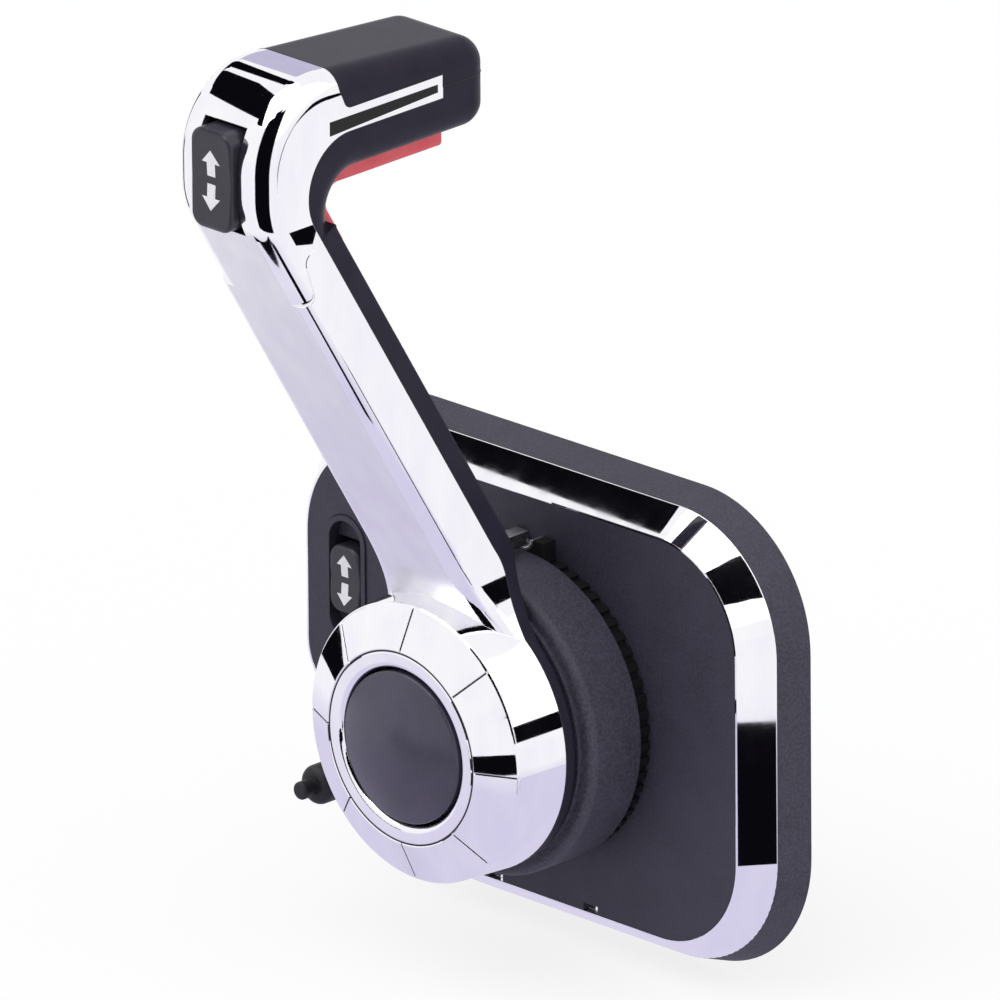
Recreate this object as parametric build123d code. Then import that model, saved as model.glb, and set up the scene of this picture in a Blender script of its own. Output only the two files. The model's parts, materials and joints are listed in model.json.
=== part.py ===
"""Side-mount boat throttle and shift control: panel, hub, leaning lever and the gear module behind it.

Frame: X runs aft, -Y runs out of the panel towards the helmsman, +Z is up.
The origin is on the lever's axis, in the plane of the boat's side that the panel is bolted to.
Distances "out" are measured from that plane along -Y.
"""
from build123d import *
import os
from math import atan, cos, degrees, pi, radians, sin, sqrt, tan

# ---------------------------------------------------------------- driving dimensions (mm)

# Clearances
slip = 0.3                 # between pieces that move past each other
seat_gap = 0.2             # between a fixed piece and the pocket it drops into
running = 0.05             # radial clearance of a shaft in its bush

# Panel outline (front face of the plate, measured from the lever's axis)
plate_left = 110.0
plate_right = 94.6
plate_top_left = 71.6
plate_top_right = 73.4
plate_bottom = 72.0
cut_corner = 57.0          # the fore lower corner is cut off at 45 degrees
corner_radius = 36.0
fore_corner_radius = 39.0
cut_side_radius = 21.0
cut_foot_radius = 34.0

# Panel stack
panel_out = 24.65          # front face of the plate
plate_thickness = 3.0
bezel_depth = 11.05
bezel_slope = 9.1          # how far the bezel spreads behind its front edge
bezel_front_lip = 0.8
bezel_ledge = 4.0
housing_flare = 4.3
housing_wall = 3.6
housing_floor = 3.0
gasket_thickness = 1.5
gasket_margin = 1.5

# Panel fastening
mount_half_width = 78.0
mount_half_height = 54.0
mount_fore_low_x = 90.0    # the cut corner moves this fixing up and forward
mount_fore_low_z = 15.0
mount_bore = 6.5
mount_head_recess = 11.5
mount_recess_depth = 5.0
mount_boss_radius = 8.5
mount_boss_height = 9.0
pry_slot_width = 6.8
pry_slot_height = 3.0
pry_slot_fore = -20.4
pry_slot_aft = 25.1

# Fixed hub
lock_ring_radius = 54.4
lock_ring_thickness = 5.95
lock_ring_teeth = 60
lock_tooth_depth = 1.3
lock_lug_height = 5.8      # the lug's top above the ring's rim
lock_lug_width = 19.0
lock_notch_radius = 4.6
disc_radius = 55.6
disc_thickness = 24.65
disc_edge = 3.0
disc_step = 5.5
disc_step_depth = 1.6
spigot_radius = 34.0
washer_radius = 17.0
washer_thickness = 1.75

# Lever hub
shaft_radius = 9.5
shaft_seat = 4.0
hub_screw_radius = 4.0
hub_screw_length = 22.0
hub_screw_head = 7.0
hub_screw_head_height = 6.0
hub_socket_depth = 3.6
hub_rim_edge = 1.5
hub_radius = 49.7          # at the dial ring
hub_draft = 1.3            # the drum is this much wider at its back
hub_back_thickness = 5.0
drum_depth = 21.1
drum_wall = 3.2
drum_floor = 8.0
ring_groove_radius = 34.3
ring_rise = 7.6            # cone height from the drum's rim to the groove circle
ring_lip_radius = 2.2
ring_flange = 2.4
ring_rim_edge = 0.6
ring_rim_rise = 0.7
ring_crest_drop = 0.4      # the inner lip lies this far under the crest
tick_count = 8
tick_width = 0.7
tick_depth = 0.5
button_radius = 27.1
button_crown = 6.4
button_skirt = 9.0
button_wall = 3.0
button_seat_drop = 1.6     # the button's skirt ends this far under the ring's crest
button_shoulder = 1.2
button_fullness = 0.76     # height of the crown half-way out, as a share of its rise
button_rim_edge = 1.0
ring_bore_gap = 1.0

# Lever arm and grip (side view: distance out, height)
lean = 31.3                # the arm leans out from the vertical
arm_face_out = 95.2        # one point of the arm's front face ...
arm_face_height = 83.7     # ... at this height
arm_thickness = 25.6
arm_cover_thickness = 7.2
arm_half_width = 21.4
arm_edge = 5.0
arm_foot_margin = 0.5      # the arm's solid starts this far above the place where its flare leaves the drum
hub_flare_radius = 62.0
skin = 3.0
elbow_bend_drop = 9.0      # the elbow's outer bend below the grip's underside
elbow_radius = 31.0
elbow_low_radius = 30.0
elbow_seam_drop = 29.8
seam_step_down = 16.0      # the seam steps down the arm towards its front face
seam_step_depth = 5.0
seam_step_radius = 3.5
seam_overrun = 6.0         # the arm is rounded this far past its seam before it is cut
grip_under = 224.8         # height of the grip's underside
grip_depth = 31.7          # at its free end
grip_end_out = 66.0
grip_edge = 8.5
grip_slope = 4.4
grip_end_under_radius = 9.0
grip_end_top_radius = 10.0
throat_radius = 13.0
cover_heel_radius = 20.0
cover_throat_radius = 20.0
strip_rise = 15.3          # lower edge of the side strips above the grip's underside
strip_width = 8.6
strip_length = 23.0        # the strips stop this far from the grip's end
grip_seam_rise = 4.0       # seam of the grip's two covers above the strips' lower edge
grip_cover_setback = 37.6  # front edge of the top cover behind the elbow
grip_cover_lead = 3.0
grip_cover_step = 7.0

# Neutral lock
bar_half_width = 11.0
bar_proud = 7.2
bar_sunk = 1.6
bar_edge = 2.2
bar_end_margin = 13.5      # from the grip's end to the bar's end
bar_foot_drop = 28.0       # the bar's foot below the grip's underside
bar_step_drop = 11.0
bar_step_reach = 28.0
bar_top_rise = 6.0
bar_travel = 3.0
rod_radius = 2.5
rod_depth = 11.5           # rod axis behind the arm's front face
rod_top_drop = 28.2
finger_width = 6.0
finger_height = 5.0
finger_base = 58.6
finger_gap = 0.5
tab_width = 8.0
tab_thickness = 4.0
tab_rise = 1.5
guide_heights = (96.0, 160.0)
guide_width = 14.0
guide_length = 8.0
guide_cap = 4.0

# Trim rockers
handle_rocker_width = 19.0
handle_rocker_height = 35.6
handle_rocker_rise = 4.2   # its middle above the grip's underside
handle_rocker_proud = 3.2
panel_rocker_x = -91.5
panel_rocker_z = 19.0
panel_rocker_width = 14.6
panel_rocker_height = 24.6
panel_rocker_proud = 1.2
panel_scoop_height = 43.0
panel_rim = 2.0
rocker_pin_radius = 1.5
rocker_clear = 0.5
rocker_clear_tall = 1.3
rocker_frame_wall = 1.8
rocker_frame_depth = 25.0
rocker_corner = 5.0
rocker_edge = 1.6
rocker_dish = 0.8
rocker_tail = 4.0
handle_pin_depth = 10.0
panel_pin_out = 17.0
panel_frame_back = 8.0
panel_rim_proud = 0.6
panel_scoop_depth = 4.5
core_pockets = 3
core_headroom = 20.0

# Stop switch
stop_x = -66.3
stop_z = -38.3
stop_barrel_radius = 9.0
stop_wall = 2.2
stop_flange = 2.5
stop_neck = 2.0
stop_knurls = 20
stop_collar_radius = 12.5
stop_collar_height = 6.0
stop_post_radius = 2.85
stop_bell_radius = 7.0
stop_bell_length = 16.0
stop_bell_edge = 3.0
stop_tip_radius = 3.2
stop_tip_edge = 1.0
stop_tip_length = 4.5
stop_reach = 73.5

# Gear module behind the panel
case_half_width = 46.0
case_top = 40.0
case_bottom = 66.0
case_radius = 14.0
case_wall = 4.0
case_front_wall = 6.0
case_depth = 42.0
cover_thickness = 4.0
gear_module = 1.5
drive_teeth = 16
shift_teeth = 32
gear_width = 10.0
gear_clear = 2.0           # gears stand off the case's front wall
tooth_top = 0.8            # addendum as a share of the module
backlash = 0.35
shift_shaft_radius = 6.0
shift_travel_gap = 0.25    # added to the gears' centre distance
bush_wall = 2.5
bush_length = 20.0
case_screw_radius = 2.0
case_screw_head = 3.6
case_screw_head_height = 2.6
case_screw_length = 12.0
case_screw_inset = 9.0
case_boss_radius = 6.0
boss_wall = 3.0
boss_height = 5.0
crank_thickness = 5.0
nut_thickness = 4.0
crank_length = 44.0
crank_eye_radius = 8.0
crank_pin_radius = 3.0
bracket_thickness = 3.0
bracket_reach = 16.0
bracket_height = 84.0
bracket_flange = 14.0
bracket_slot_width = 9.0
bracket_slot_depth = 12.0
bracket_slot_spacing = 56.0

# ---------------------------------------------------------------- sketch planes and plain solids


def out_plane(out):
    """Plane parallel to the panel: first coordinate X, second Z, extrusions run out of the panel."""
    return Plane(origin=(0, -out, 0), x_dir=(1, 0, 0), z_dir=(0, -1, 0))


side_plane = Plane(origin=(0, 0, 0), x_dir=(0, -1, 0), z_dir=(-1, 0, 0))
turning_plane = Plane(origin=(0, 0, 0), x_dir=(1, 0, 0), z_dir=(0, 0, -1))


def bar(radius, near, far, x=0.0, z=0.0):
    """Round bar square to the panel, between two distances out."""
    return extrude(out_plane(near) * Pos(x, z) * Circle(radius), far - near)


def block(width, height, near, far, x=0.0, z=0.0, radius=0.0):
    """Rectangular block square to the panel, its corners rounded where a radius is given."""
    shape = RectangleRounded(width, height, radius) if radius else Rectangle(width, height)
    return extrude(out_plane(near) * Pos(x, z) * shape, far - near)


def turned(points):
    """Solid of revolution on the lever's axis, from (radius, out) points."""
    return revolve(turning_plane * make_face(Polyline(*points, close=True)), Axis.Y)


def tube(outer, inner, near, far, x=0.0, z=0.0):
    return bar(outer, near, far, x, z) - bar(inner, near - 1, far + 1, x, z)


def side_slice(face, half_width):
    """Side-view face in (out, height) made as wide as the lever."""
    return extrude(side_plane * face, half_width, both=True)


def rounded_polygon(corners):
    """Closed face from (first, second, radius) corners; a radius of 0 leaves the corner sharp."""
    face = Sketch() + make_face(Polyline(*[corner[:2] for corner in corners], close=True))
    for first, second, radius in corners:
        if radius:
            corner = face.vertices().sort_by_distance((first, second, 0))[0]
            face = fillet(corner, radius)
    return face


# ---------------------------------------------------------------- panel

rim_out = panel_out - bezel_depth
plate_back = panel_out - plate_thickness
floor_out = gasket_thickness + housing_floor
disc_back = panel_out + lock_ring_thickness
disc_front = disc_back + disc_thickness
lever_back = disc_front + washer_thickness
hub_back_radius = hub_radius + hub_draft
drum_back = lever_back + hub_back_thickness
drum_front = drum_back + drum_depth
groove_out = drum_front + ring_rise
mount_points = [
    (-mount_half_width, mount_half_height),
    (mount_half_width, mount_half_height),
    (mount_half_width, -mount_half_height),
    (-mount_fore_low_x, -mount_fore_low_z),
]


def panel_outline(grow=0.0):
    """Front outline of the plate, grown outwards by a constant distance."""
    corners = [
        (-plate_left, plate_top_left, fore_corner_radius),
        (plate_right, plate_top_right, corner_radius),
        (plate_right, -plate_bottom, corner_radius),
        (cut_corner - plate_left, -plate_bottom, cut_foot_radius),
        (-plate_left, cut_corner - plate_bottom, cut_side_radius),
    ]
    outline = rounded_polygon(corners)
    return offset(outline, grow) if grow else outline


def panel_slab(grow, near, far):
    return extrude(out_plane(near) * panel_outline(grow), far - near)


def panel_flare(grow_near, near, grow_far, far):
    """Ring-wide drafted slab whose edge leans evenly all the way round."""
    sections = [out_plane(near) * panel_outline(grow_near), out_plane(far) * panel_outline(grow_far)]
    return loft(sections, ruled=True)


def back_housing():
    """Moulded tray: drafted wall, floor against the boat's side and four fixing bosses."""
    body = panel_flare(bezel_slope + housing_flare, gasket_thickness, bezel_slope, rim_out)
    body -= panel_slab(bezel_slope - housing_wall, floor_out, rim_out + 1)
    body -= bar(shaft_radius + bush_wall + slip, gasket_thickness - 1, floor_out + 1)
    for x, z in mount_points:
        body += bar(mount_boss_radius, floor_out, floor_out + mount_boss_height, x, z)
        body -= bar(mount_bore / 2, gasket_thickness - 1, rim_out + 1, x, z)
        top = floor_out + mount_boss_height
        body -= bar(mount_head_recess / 2, top - mount_recess_depth, top + 1, x, z)
    for x, z in case_screw_points():
        body -= bar(case_screw_radius + slip, gasket_thickness - 1, floor_out + 1, x, z)
    return body


def mounting_gasket():
    """Foam sheet between the tray and the boat's side, cut out round the gear module."""
    body = panel_slab(bezel_slope + housing_flare - gasket_margin, 0, gasket_thickness)
    body -= case_slab(-gasket_margin, -1, gasket_thickness + 1)
    for x, z in mount_points:
        body -= bar(mount_bore / 2, -1, gasket_thickness + 1, x, z)
    return body


def chrome_bezel():
    """Sloping bright ring that clamps the plate's edge to the tray."""
    body = panel_flare(bezel_slope, rim_out, bezel_front_lip, panel_out)
    body -= panel_slab(0, plate_back, panel_out + 1)
    body -= panel_slab(-bezel_ledge, rim_out - 1, panel_out + 1)
    return body


def rocker_frame_face(grow=0.0):
    """Upright slot with round ends, the outline of the panel rocker's frame."""
    width = panel_rocker_width + 2 * (slip + panel_rim + grow)
    height = panel_scoop_height + 2 * (panel_rim + grow)
    return Pos(panel_rocker_x, panel_rocker_z) * SlotOverall(height, width, rotation=90)


def face_plate():
    """Cover plate with the hub's hole, the switches' holes and two pry slots at its lower edge."""
    body = panel_slab(-seat_gap, plate_back, panel_out)
    body -= bar(spigot_radius + seat_gap, plate_back - 1, panel_out + 1)
    body -= extrude(out_plane(plate_back - 1) * rocker_frame_face(seat_gap), plate_thickness + 2)
    body -= bar(stop_barrel_radius + seat_gap, plate_back - 1, panel_out + 1, stop_x, stop_z)
    for x in (pry_slot_fore, pry_slot_aft):
        low = pry_slot_height / 2 - plate_bottom
        body -= block(pry_slot_width, pry_slot_height, plate_back - 1, panel_out + 1, x, low)
    return body


# ---------------------------------------------------------------- fixed hub


def hub_disc():
    """Fixed hub: textured cup in front of the lock ring and the spigot that carries it on the tray."""
    bore = shaft_radius + bush_wall
    step_out = disc_front - disc_step_depth
    body = turned([
        (bore, floor_out),
        (spigot_radius, floor_out),
        (spigot_radius, disc_back),
        (disc_radius, disc_back),
        (disc_radius, step_out),
        (disc_radius - disc_step, step_out),
        (disc_radius - disc_step, disc_front),
        (bore, disc_front),
    ])
    rim = body.edges().filter_by(GeomType.CIRCLE).filter_by(lambda e: abs(e.radius - disc_radius) < 0.01)
    return fillet(rim.sort_by(Axis.Y)[0], disc_edge)


def neutral_lock_ring():
    """Ring behind the hub's cup: knurled rim and, at the top, the lug with the neutral notch."""
    rim = Circle(lock_ring_radius)
    groove = Rectangle(2 * lock_tooth_depth, pi * lock_ring_radius / lock_ring_teeth)
    rim -= PolarLocations(lock_ring_radius, lock_ring_teeth) * groove
    lug_top = lock_ring_radius + lock_lug_height
    rim += Pos(0, lug_top / 2) * Rectangle(lock_lug_width, lug_top)
    rim -= Pos(0, lug_top) * Circle(lock_notch_radius)
    rim -= Circle(spigot_radius + seat_gap)
    return extrude(out_plane(panel_out) * rim, lock_ring_thickness)


def front_bush():
    return tube(shaft_radius + bush_wall, shaft_radius + running, disc_front - bush_length, disc_front)


def thrust_washer():
    return tube(washer_radius, shaft_radius + slip, disc_front, lever_back)


# ---------------------------------------------------------------- gear module behind the panel

case_front_inside = gasket_thickness - case_front_wall
cover_back = -case_depth - cover_thickness
boss_back = cover_back - boss_height
crank_front = boss_back - slip
crank_back = crank_front - crank_thickness
gear_front = case_front_inside - 2 * slip - gear_clear
drive_radius = gear_module * drive_teeth / 2
shift_radius = gear_module * shift_teeth / 2
shift_z = -(drive_radius + shift_radius + shift_travel_gap)


def case_slab(inset, near, far):
    width = 2 * (case_half_width - inset)
    height = case_top + case_bottom - 2 * inset
    return block(width, height, near, far, 0, (case_top - case_bottom) / 2, case_radius - inset)


def case_screw_points():
    dx = case_half_width - case_screw_inset
    heights = (case_top - case_screw_inset, case_screw_inset - case_bottom)
    return [(x, z) for x in (-dx, dx) for z in heights]


def module_case():
    """Cast box screwed to the tray, open behind, with a full-depth boss for the screws in each corner."""
    cavity = case_slab(case_wall, -case_depth - 1, case_front_inside)
    for x, z in case_screw_points():
        cavity -= bar(case_boss_radius, -case_depth - 2, gasket_thickness, x, z)
    body = case_slab(0, -case_depth, gasket_thickness) - cavity
    body -= bar(shaft_radius + slip, case_front_inside - 1, gasket_thickness + 1)
    pocket = case_front_wall / 2
    body -= bar(shift_shaft_radius + running, case_front_inside - 1, case_front_inside + pocket, 0, shift_z)
    for x, z in case_screw_points():
        body -= bar(case_screw_radius + running, -case_depth - 1, gasket_thickness + 1, x, z)
    for z in bracket_screw_heights():
        body -= side_bar(case_screw_radius + running, case_half_width - case_wall - 1, case_half_width + 1, z)
    return body


def module_cover():
    """Rear plate with the bosses of both shafts."""
    body = case_slab(0, cover_back, -case_depth)
    body += bar(shaft_radius + bush_wall + boss_wall, boss_back, cover_back)
    body += bar(shift_shaft_radius + bush_wall + boss_wall, boss_back, cover_back, 0, shift_z)
    body -= bar(shaft_radius + bush_wall, boss_back - 1, -case_depth + 1)
    body -= bar(shift_shaft_radius + bush_wall, boss_back - 1, -case_depth + 1, 0, shift_z)
    for x, z in case_screw_points():
        body -= bar(case_screw_radius + slip, cover_back - 1, -case_depth + 1, x, z)
    return body


def rear_bush():
    return tube(shaft_radius + bush_wall, shaft_radius + running, boss_back, -case_depth)


def shift_bush():
    return tube(shift_shaft_radius + bush_wall, shift_shaft_radius + running, boss_back, -case_depth, 0, shift_z)


def socket_screw(head_out, towards, x, z):
    """Cap screw square to the panel: head on one side of head_out, shank on the other."""
    tip = head_out - towards * case_screw_length
    top = head_out + towards * case_screw_head_height
    body = bar(case_screw_radius, min(tip, head_out), max(tip, head_out), x, z)
    body += bar(case_screw_head, min(head_out, top), max(head_out, top), x, z)
    socket = out_plane(top) * Pos(x, z) * RegularPolygon(case_screw_radius, 6)
    return body - extrude(socket, -towards * case_screw_head_height * 0.6)


def tray_screws():
    return [socket_screw(floor_out, 1, x, z) for x, z in case_screw_points()]


def cover_screws():
    return [socket_screw(cover_back, -1, x, z) for x, z in case_screw_points()]


def gear(teeth, near, far, bore, z, phase):
    """Straight-cut gear: trapezoid teeth with 20 degree flanks and backlash shared by both flanks."""
    pitch = gear_module * teeth / 2
    root = pitch - 1.25 * gear_module
    tip = pitch + tooth_top * gear_module
    half = (pi * gear_module / 2 - backlash) / 2
    flank = tan(radians(20))
    foot = half + (pitch - root) * flank
    crest = half - (tip - pitch) * flank
    inside = root - 0.5
    tooth = make_face(Polyline((inside, -foot), (root, -foot), (tip, -crest), (tip, crest), (root, foot),
                               (inside, foot), close=True))
    wheel = Circle(root)
    for number in range(teeth):
        wheel += Rot(0, 0, phase + 360 * number / teeth) * tooth
    wheel -= Circle(bore)
    return extrude(out_plane(near) * Pos(0, z) * wheel, far - near)


def drive_gear():
    return gear(drive_teeth, gear_front - gear_width, gear_front, shaft_radius, 0, -90)


def shift_gear():
    half_tooth = 180 / shift_teeth
    return gear(shift_teeth, gear_front - gear_width, gear_front, shift_shaft_radius, shift_z, 90 + half_tooth)


def hub_shaft():
    """Main shaft: from its seat in the lever's hub, through both bushes, to the throttle crank's nut."""
    seat = drum_back + shaft_seat
    shaft = bar(shaft_radius, crank_back - nut_thickness, seat)
    ends = shaft.edges().filter_by(GeomType.CIRCLE)
    shaft = chamfer(ends.sort_by(Axis.Y)[-1], 1.0)
    return shaft - bar(hub_screw_radius, seat - hub_screw_length, seat + 1)


def shift_shaft():
    front = case_front_inside + case_front_wall / 2 - slip
    return bar(shift_shaft_radius, crank_back - nut_thickness, front, 0, shift_z)


def crank(hub, bore, z, upward):
    """Flat crank arm with the cable's eye at its end."""
    eye_z = z + upward * crank_length
    outline = make_hull((Pos(0, z) * Circle(hub)).edges() + (Pos(0, eye_z) * Circle(crank_eye_radius)).edges())
    outline -= Pos(0, z) * Circle(bore)
    outline -= Pos(0, eye_z) * Circle(crank_pin_radius)
    return extrude(out_plane(crank_back) * outline, crank_thickness)


def throttle_crank():
    return crank(shaft_radius + bush_wall + boss_wall, shaft_radius, 0, 1)


def shift_crank():
    return crank(shift_shaft_radius + bush_wall + boss_wall, shift_shaft_radius, shift_z, -1)


def shaft_nut(bore, z):
    nut = Pos(0, z) * (RegularPolygon(bore * 1.6, 6) - Circle(bore))
    return extrude(out_plane(crank_back - nut_thickness) * nut, nut_thickness)


def side_bar(radius, near_x, far_x, z):
    """Round bar along X, half-way along the bracket's flange."""
    middle = Plane(origin=(near_x, bracket_y, z), x_dir=(0, 1, 0), z_dir=(1, 0, 0))
    return extrude(middle * Circle(radius), far_x - near_x)


bracket_y = case_depth - bracket_flange / 2 - bracket_thickness
bracket_z = (case_top - case_bottom) / 2


def bracket_screw_heights():
    spread = bracket_height / 4
    return (bracket_z - spread, bracket_z + spread)


def cable_bracket():
    """Angle on the case's aft side with an open notch for each control cable."""
    flange_x = case_half_width + bracket_thickness / 2
    plate_x = case_half_width + bracket_reach / 2
    plate_out = -case_depth
    body = block(bracket_thickness, bracket_height, plate_out, plate_out + bracket_flange + bracket_thickness,
                 flange_x, bracket_z)
    body += block(bracket_reach, bracket_height, plate_out, plate_out + bracket_thickness, plate_x, bracket_z)
    notch_x = case_half_width + bracket_reach - bracket_slot_depth / 2
    for side in (-1, 1):
        z = bracket_z + side * bracket_slot_spacing / 2
        body -= block(bracket_slot_depth, bracket_slot_width, plate_out - 1, plate_out + bracket_thickness + 1,
                      notch_x, z)
    for z in bracket_screw_heights():
        body -= side_bar(case_screw_radius + slip, case_half_width - 1, case_half_width + bracket_thickness + 1, z)
    return body


def bracket_screws():
    near = case_half_width - case_wall
    face = case_half_width + bracket_thickness
    screws = []
    for z in bracket_screw_heights():
        screw = side_bar(case_screw_radius, near, face, z)
        screws.append(screw + side_bar(case_screw_head, face, face + case_screw_head_height, z))
    return screws


# ---------------------------------------------------------------- lever: side view and forms

lean_angle = radians(lean)
front_depth = arm_thickness - arm_cover_thickness


def face_out(height, depth=0.0):
    """Distance out of the line `depth` behind the arm's front face, at a height."""
    return arm_face_out + (height - arm_face_height) * tan(lean_angle) - depth / cos(lean_angle)


def face_height(out, depth=0.0):
    return arm_face_height + (out - arm_face_out + depth / cos(lean_angle)) / tan(lean_angle)


flare_reach = hub_radius + hub_flare_radius
flare_x = arm_half_width + hub_flare_radius
flare_z = sqrt(flare_reach ** 2 - flare_x ** 2)
flare_touch = (flare_x * hub_radius / flare_reach, flare_z * hub_radius / flare_reach)
arm_foot = flare_touch[1] + arm_foot_margin
elbow_out = face_out(grip_under - elbow_bend_drop)
elbow_seam_height = grip_under - elbow_seam_drop
grip_end_top = grip_under + grip_depth
strip_low = grip_under + strip_rise
strip_high = strip_low + strip_width
strip_end_out = grip_end_out + strip_length
grip_seam_height = strip_low + grip_seam_rise
grip_cover_front = elbow_out - grip_cover_setback
handle_rocker_centre = grip_under + handle_rocker_rise
rocker_frame_back = elbow_out - rocker_frame_depth
handle_pin_out = elbow_out - handle_pin_depth
bar_end_out = grip_end_out + bar_end_margin
bar_foot_height = grip_under - bar_foot_drop
rod_top_height = grip_under - rod_top_drop


def lever_profile(foot):
    """Side view of arm, elbow and grip above a foot height."""
    elbow_top = grip_end_top + (elbow_out - grip_end_out) * tan(radians(grip_slope))
    outline = rounded_polygon([
        (lever_back, face_height(lever_back), 0),
        (lever_back, face_height(lever_back, arm_thickness), cover_heel_radius),
        (face_out(grip_under, arm_thickness), grip_under, throat_radius),
        (grip_end_out, grip_under, grip_end_under_radius),
        (grip_end_out, grip_end_top, grip_end_top_radius),
        (elbow_out, elbow_top, elbow_radius),
        (elbow_out, face_height(elbow_out), elbow_low_radius),
    ])
    kept = Pos(elbow_out, foot + elbow_out) * Rectangle(elbow_out * 2, elbow_out * 2)
    return outline & kept


def hub_profile(inset=0.0):
    """Front view of the hub and arm: a disc that flares into two parallel sides."""
    half = arm_half_width
    touch_x, touch_z = flare_touch
    turn = (pi + atan(flare_z / flare_x) + pi) / 2
    middle = (flare_x + hub_flare_radius * cos(turn), flare_z + hub_flare_radius * sin(turn))
    top = elbow_out * 2
    edges = [
        Line((-half, top), (-half, flare_z)),
        ThreePointArc((-half, flare_z), (-middle[0], middle[1]), (-touch_x, touch_z)),
        ThreePointArc((-touch_x, touch_z), (0, -hub_radius), (touch_x, touch_z)),
        ThreePointArc((touch_x, touch_z), middle, (half, flare_z)),
        Line((half, flare_z), (half, top)),
        Line((half, top), (-half, top)),
    ]
    outline = make_face(Curve() + edges)
    return offset(outline, -inset) if inset else outline


def upper_form(inset=0.0):
    """Grip and elbow at full width, every long edge rounded; it runs on below the elbow's seam."""
    foot = elbow_seam_height / 2
    profile = lever_profile(foot)
    if inset:
        profile = offset(profile, -inset)
    half = arm_half_width - inset
    body = side_slice(profile, half)
    rounded = [edge for edge in body.edges()
               if abs(abs(edge.center().X) - half) < 0.01 and edge.center().Z > foot + inset + 1]
    return fillet(rounded, grip_edge - inset)


def zone(face):
    return side_slice(face, hub_radius * 2)


def arm_form(inset=0.0, foot=arm_foot):
    """Arm below the elbow's seam, flaring into the hub, its front edges rounded before it is cut there."""
    profile = lever_profile(foot)
    if inset:
        profile = offset(profile, -inset)
    front = extrude(out_plane(0) * hub_profile(inset), elbow_out * 2)
    body = zone(profile) & front & zone(arm_strip(seam_overrun, seam_overrun))
    if not inset:
        body = fillet(front_edges(body), arm_edge)
    return body & zone(arm_strip(-seam_step_down, 0))


def front_edges(body):
    """The two long edges of the arm's front face."""
    chosen = []
    for edge in body.edges():
        middle = edge.center()
        depth = face_out(middle.Z) + middle.Y
        if abs(depth) < 1.0 and abs(middle.X) > arm_half_width - 1 and edge.length > arm_edge:
            chosen.append(edge)
    return chosen


def on_arm(depth, along):
    """Point that far behind the front face and that far up the arm from the elbow's seam."""
    out = face_out(elbow_seam_height) - depth * cos(lean_angle) + along * sin(lean_angle)
    return (out, elbow_seam_height + depth * sin(lean_angle) + along * cos(lean_angle))


def arm_strip(front_end, back_end):
    """Side view of the arm's length, ended at one place near its front face and at another behind it."""
    behind = arm_thickness + arm_cover_thickness
    length = 2 * elbow_out
    step = seam_step_radius if front_end != back_end else 0
    return rounded_polygon([
        (*on_arm(-behind, front_end), 0),
        (*on_arm(seam_step_depth, front_end), step),
        (*on_arm(seam_step_depth + seam_step_radius, back_end), step),
        (*on_arm(behind, back_end), 0),
        (*on_arm(behind, -length), 0),
        (*on_arm(-behind, -length), 0),
    ])


def back_zone():
    """Side view of what the black back cover takes: behind the arm's seam and under the grip's strip."""
    margin = lever_back - hub_back_thickness
    return rounded_polygon([
        (drum_back, -hub_back_radius - margin, 0),
        (drum_back, face_height(drum_back, front_depth), cover_heel_radius),
        (face_out(strip_low, front_depth), strip_low, cover_throat_radius),
        (strip_end_out, strip_low, 0),
        (strip_end_out, grip_seam_height, 0),
        (0, grip_seam_height, 0),
        (0, -hub_back_radius - margin, 0),
    ])


def top_zone():
    """Side view of what the grip's top cover takes: above the strip, as far out as the elbow's cap."""
    above = grip_end_top * 1.2
    return rounded_polygon([
        (0, grip_seam_height, 0),
        (strip_end_out, grip_seam_height, 0),
        (strip_end_out, strip_high, 0),
        (grip_cover_front - grip_cover_lead, strip_high, grip_cover_step / 2),
        (grip_cover_front, strip_high + grip_cover_step, grip_cover_step / 2),
        (grip_cover_front, above, 0),
        (0, above, 0),
    ])


def bar_band(sunk, proud, grow=0.0):
    """Side view of a band that follows the lever's throat from the bar's foot to its end."""
    profile = lever_profile(arm_foot)
    band = offset(profile, proud) - offset(profile, -sunk)
    throat_out = face_out(grip_under, arm_thickness)
    step_out = throat_out - bar_step_reach
    step_height = grip_under - bar_step_drop
    band_top = grip_under + bar_top_rise
    window = make_face(Polyline(
        (bar_end_out - grow, step_height), (step_out, step_height), (step_out, bar_foot_height - grow),
        (throat_out, bar_foot_height - grow), (throat_out, band_top), (bar_end_out - grow, band_top),
        close=True))
    return band & window


# ---------------------------------------------------------------- lever: pieces

upper_skin = upper_form() - upper_form(skin)
upper_skin -= zone(arm_strip(-seam_step_down, 0))
arm_solid = arm_form()
arm_hollow = arm_form(skin, hub_radius) - bar(hub_radius, 0, elbow_out)
arm_skin = arm_solid - arm_hollow


def rocker_pocket(clear_x, clear_z, near, far):
    return block(handle_rocker_width + 2 * clear_x, handle_rocker_height + 2 * clear_z, near, far, 0,
                 handle_rocker_centre)


def arm_shell():
    """Bright cast arm with the hub's drum: open behind, closed by the back cover."""
    body = arm_skin - zone(back_zone())
    body += turned([(0, drum_back), (hub_back_radius, drum_back), (hub_radius, drum_front), (0, drum_front)])
    body -= bar(hub_radius - drum_wall, drum_back + drum_floor, elbow_out)
    body -= bar(shaft_radius, drum_back - 1, drum_back + shaft_seat)
    body -= bar(hub_screw_radius + slip, drum_back, drum_back + drum_floor + 1)
    return body


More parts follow.
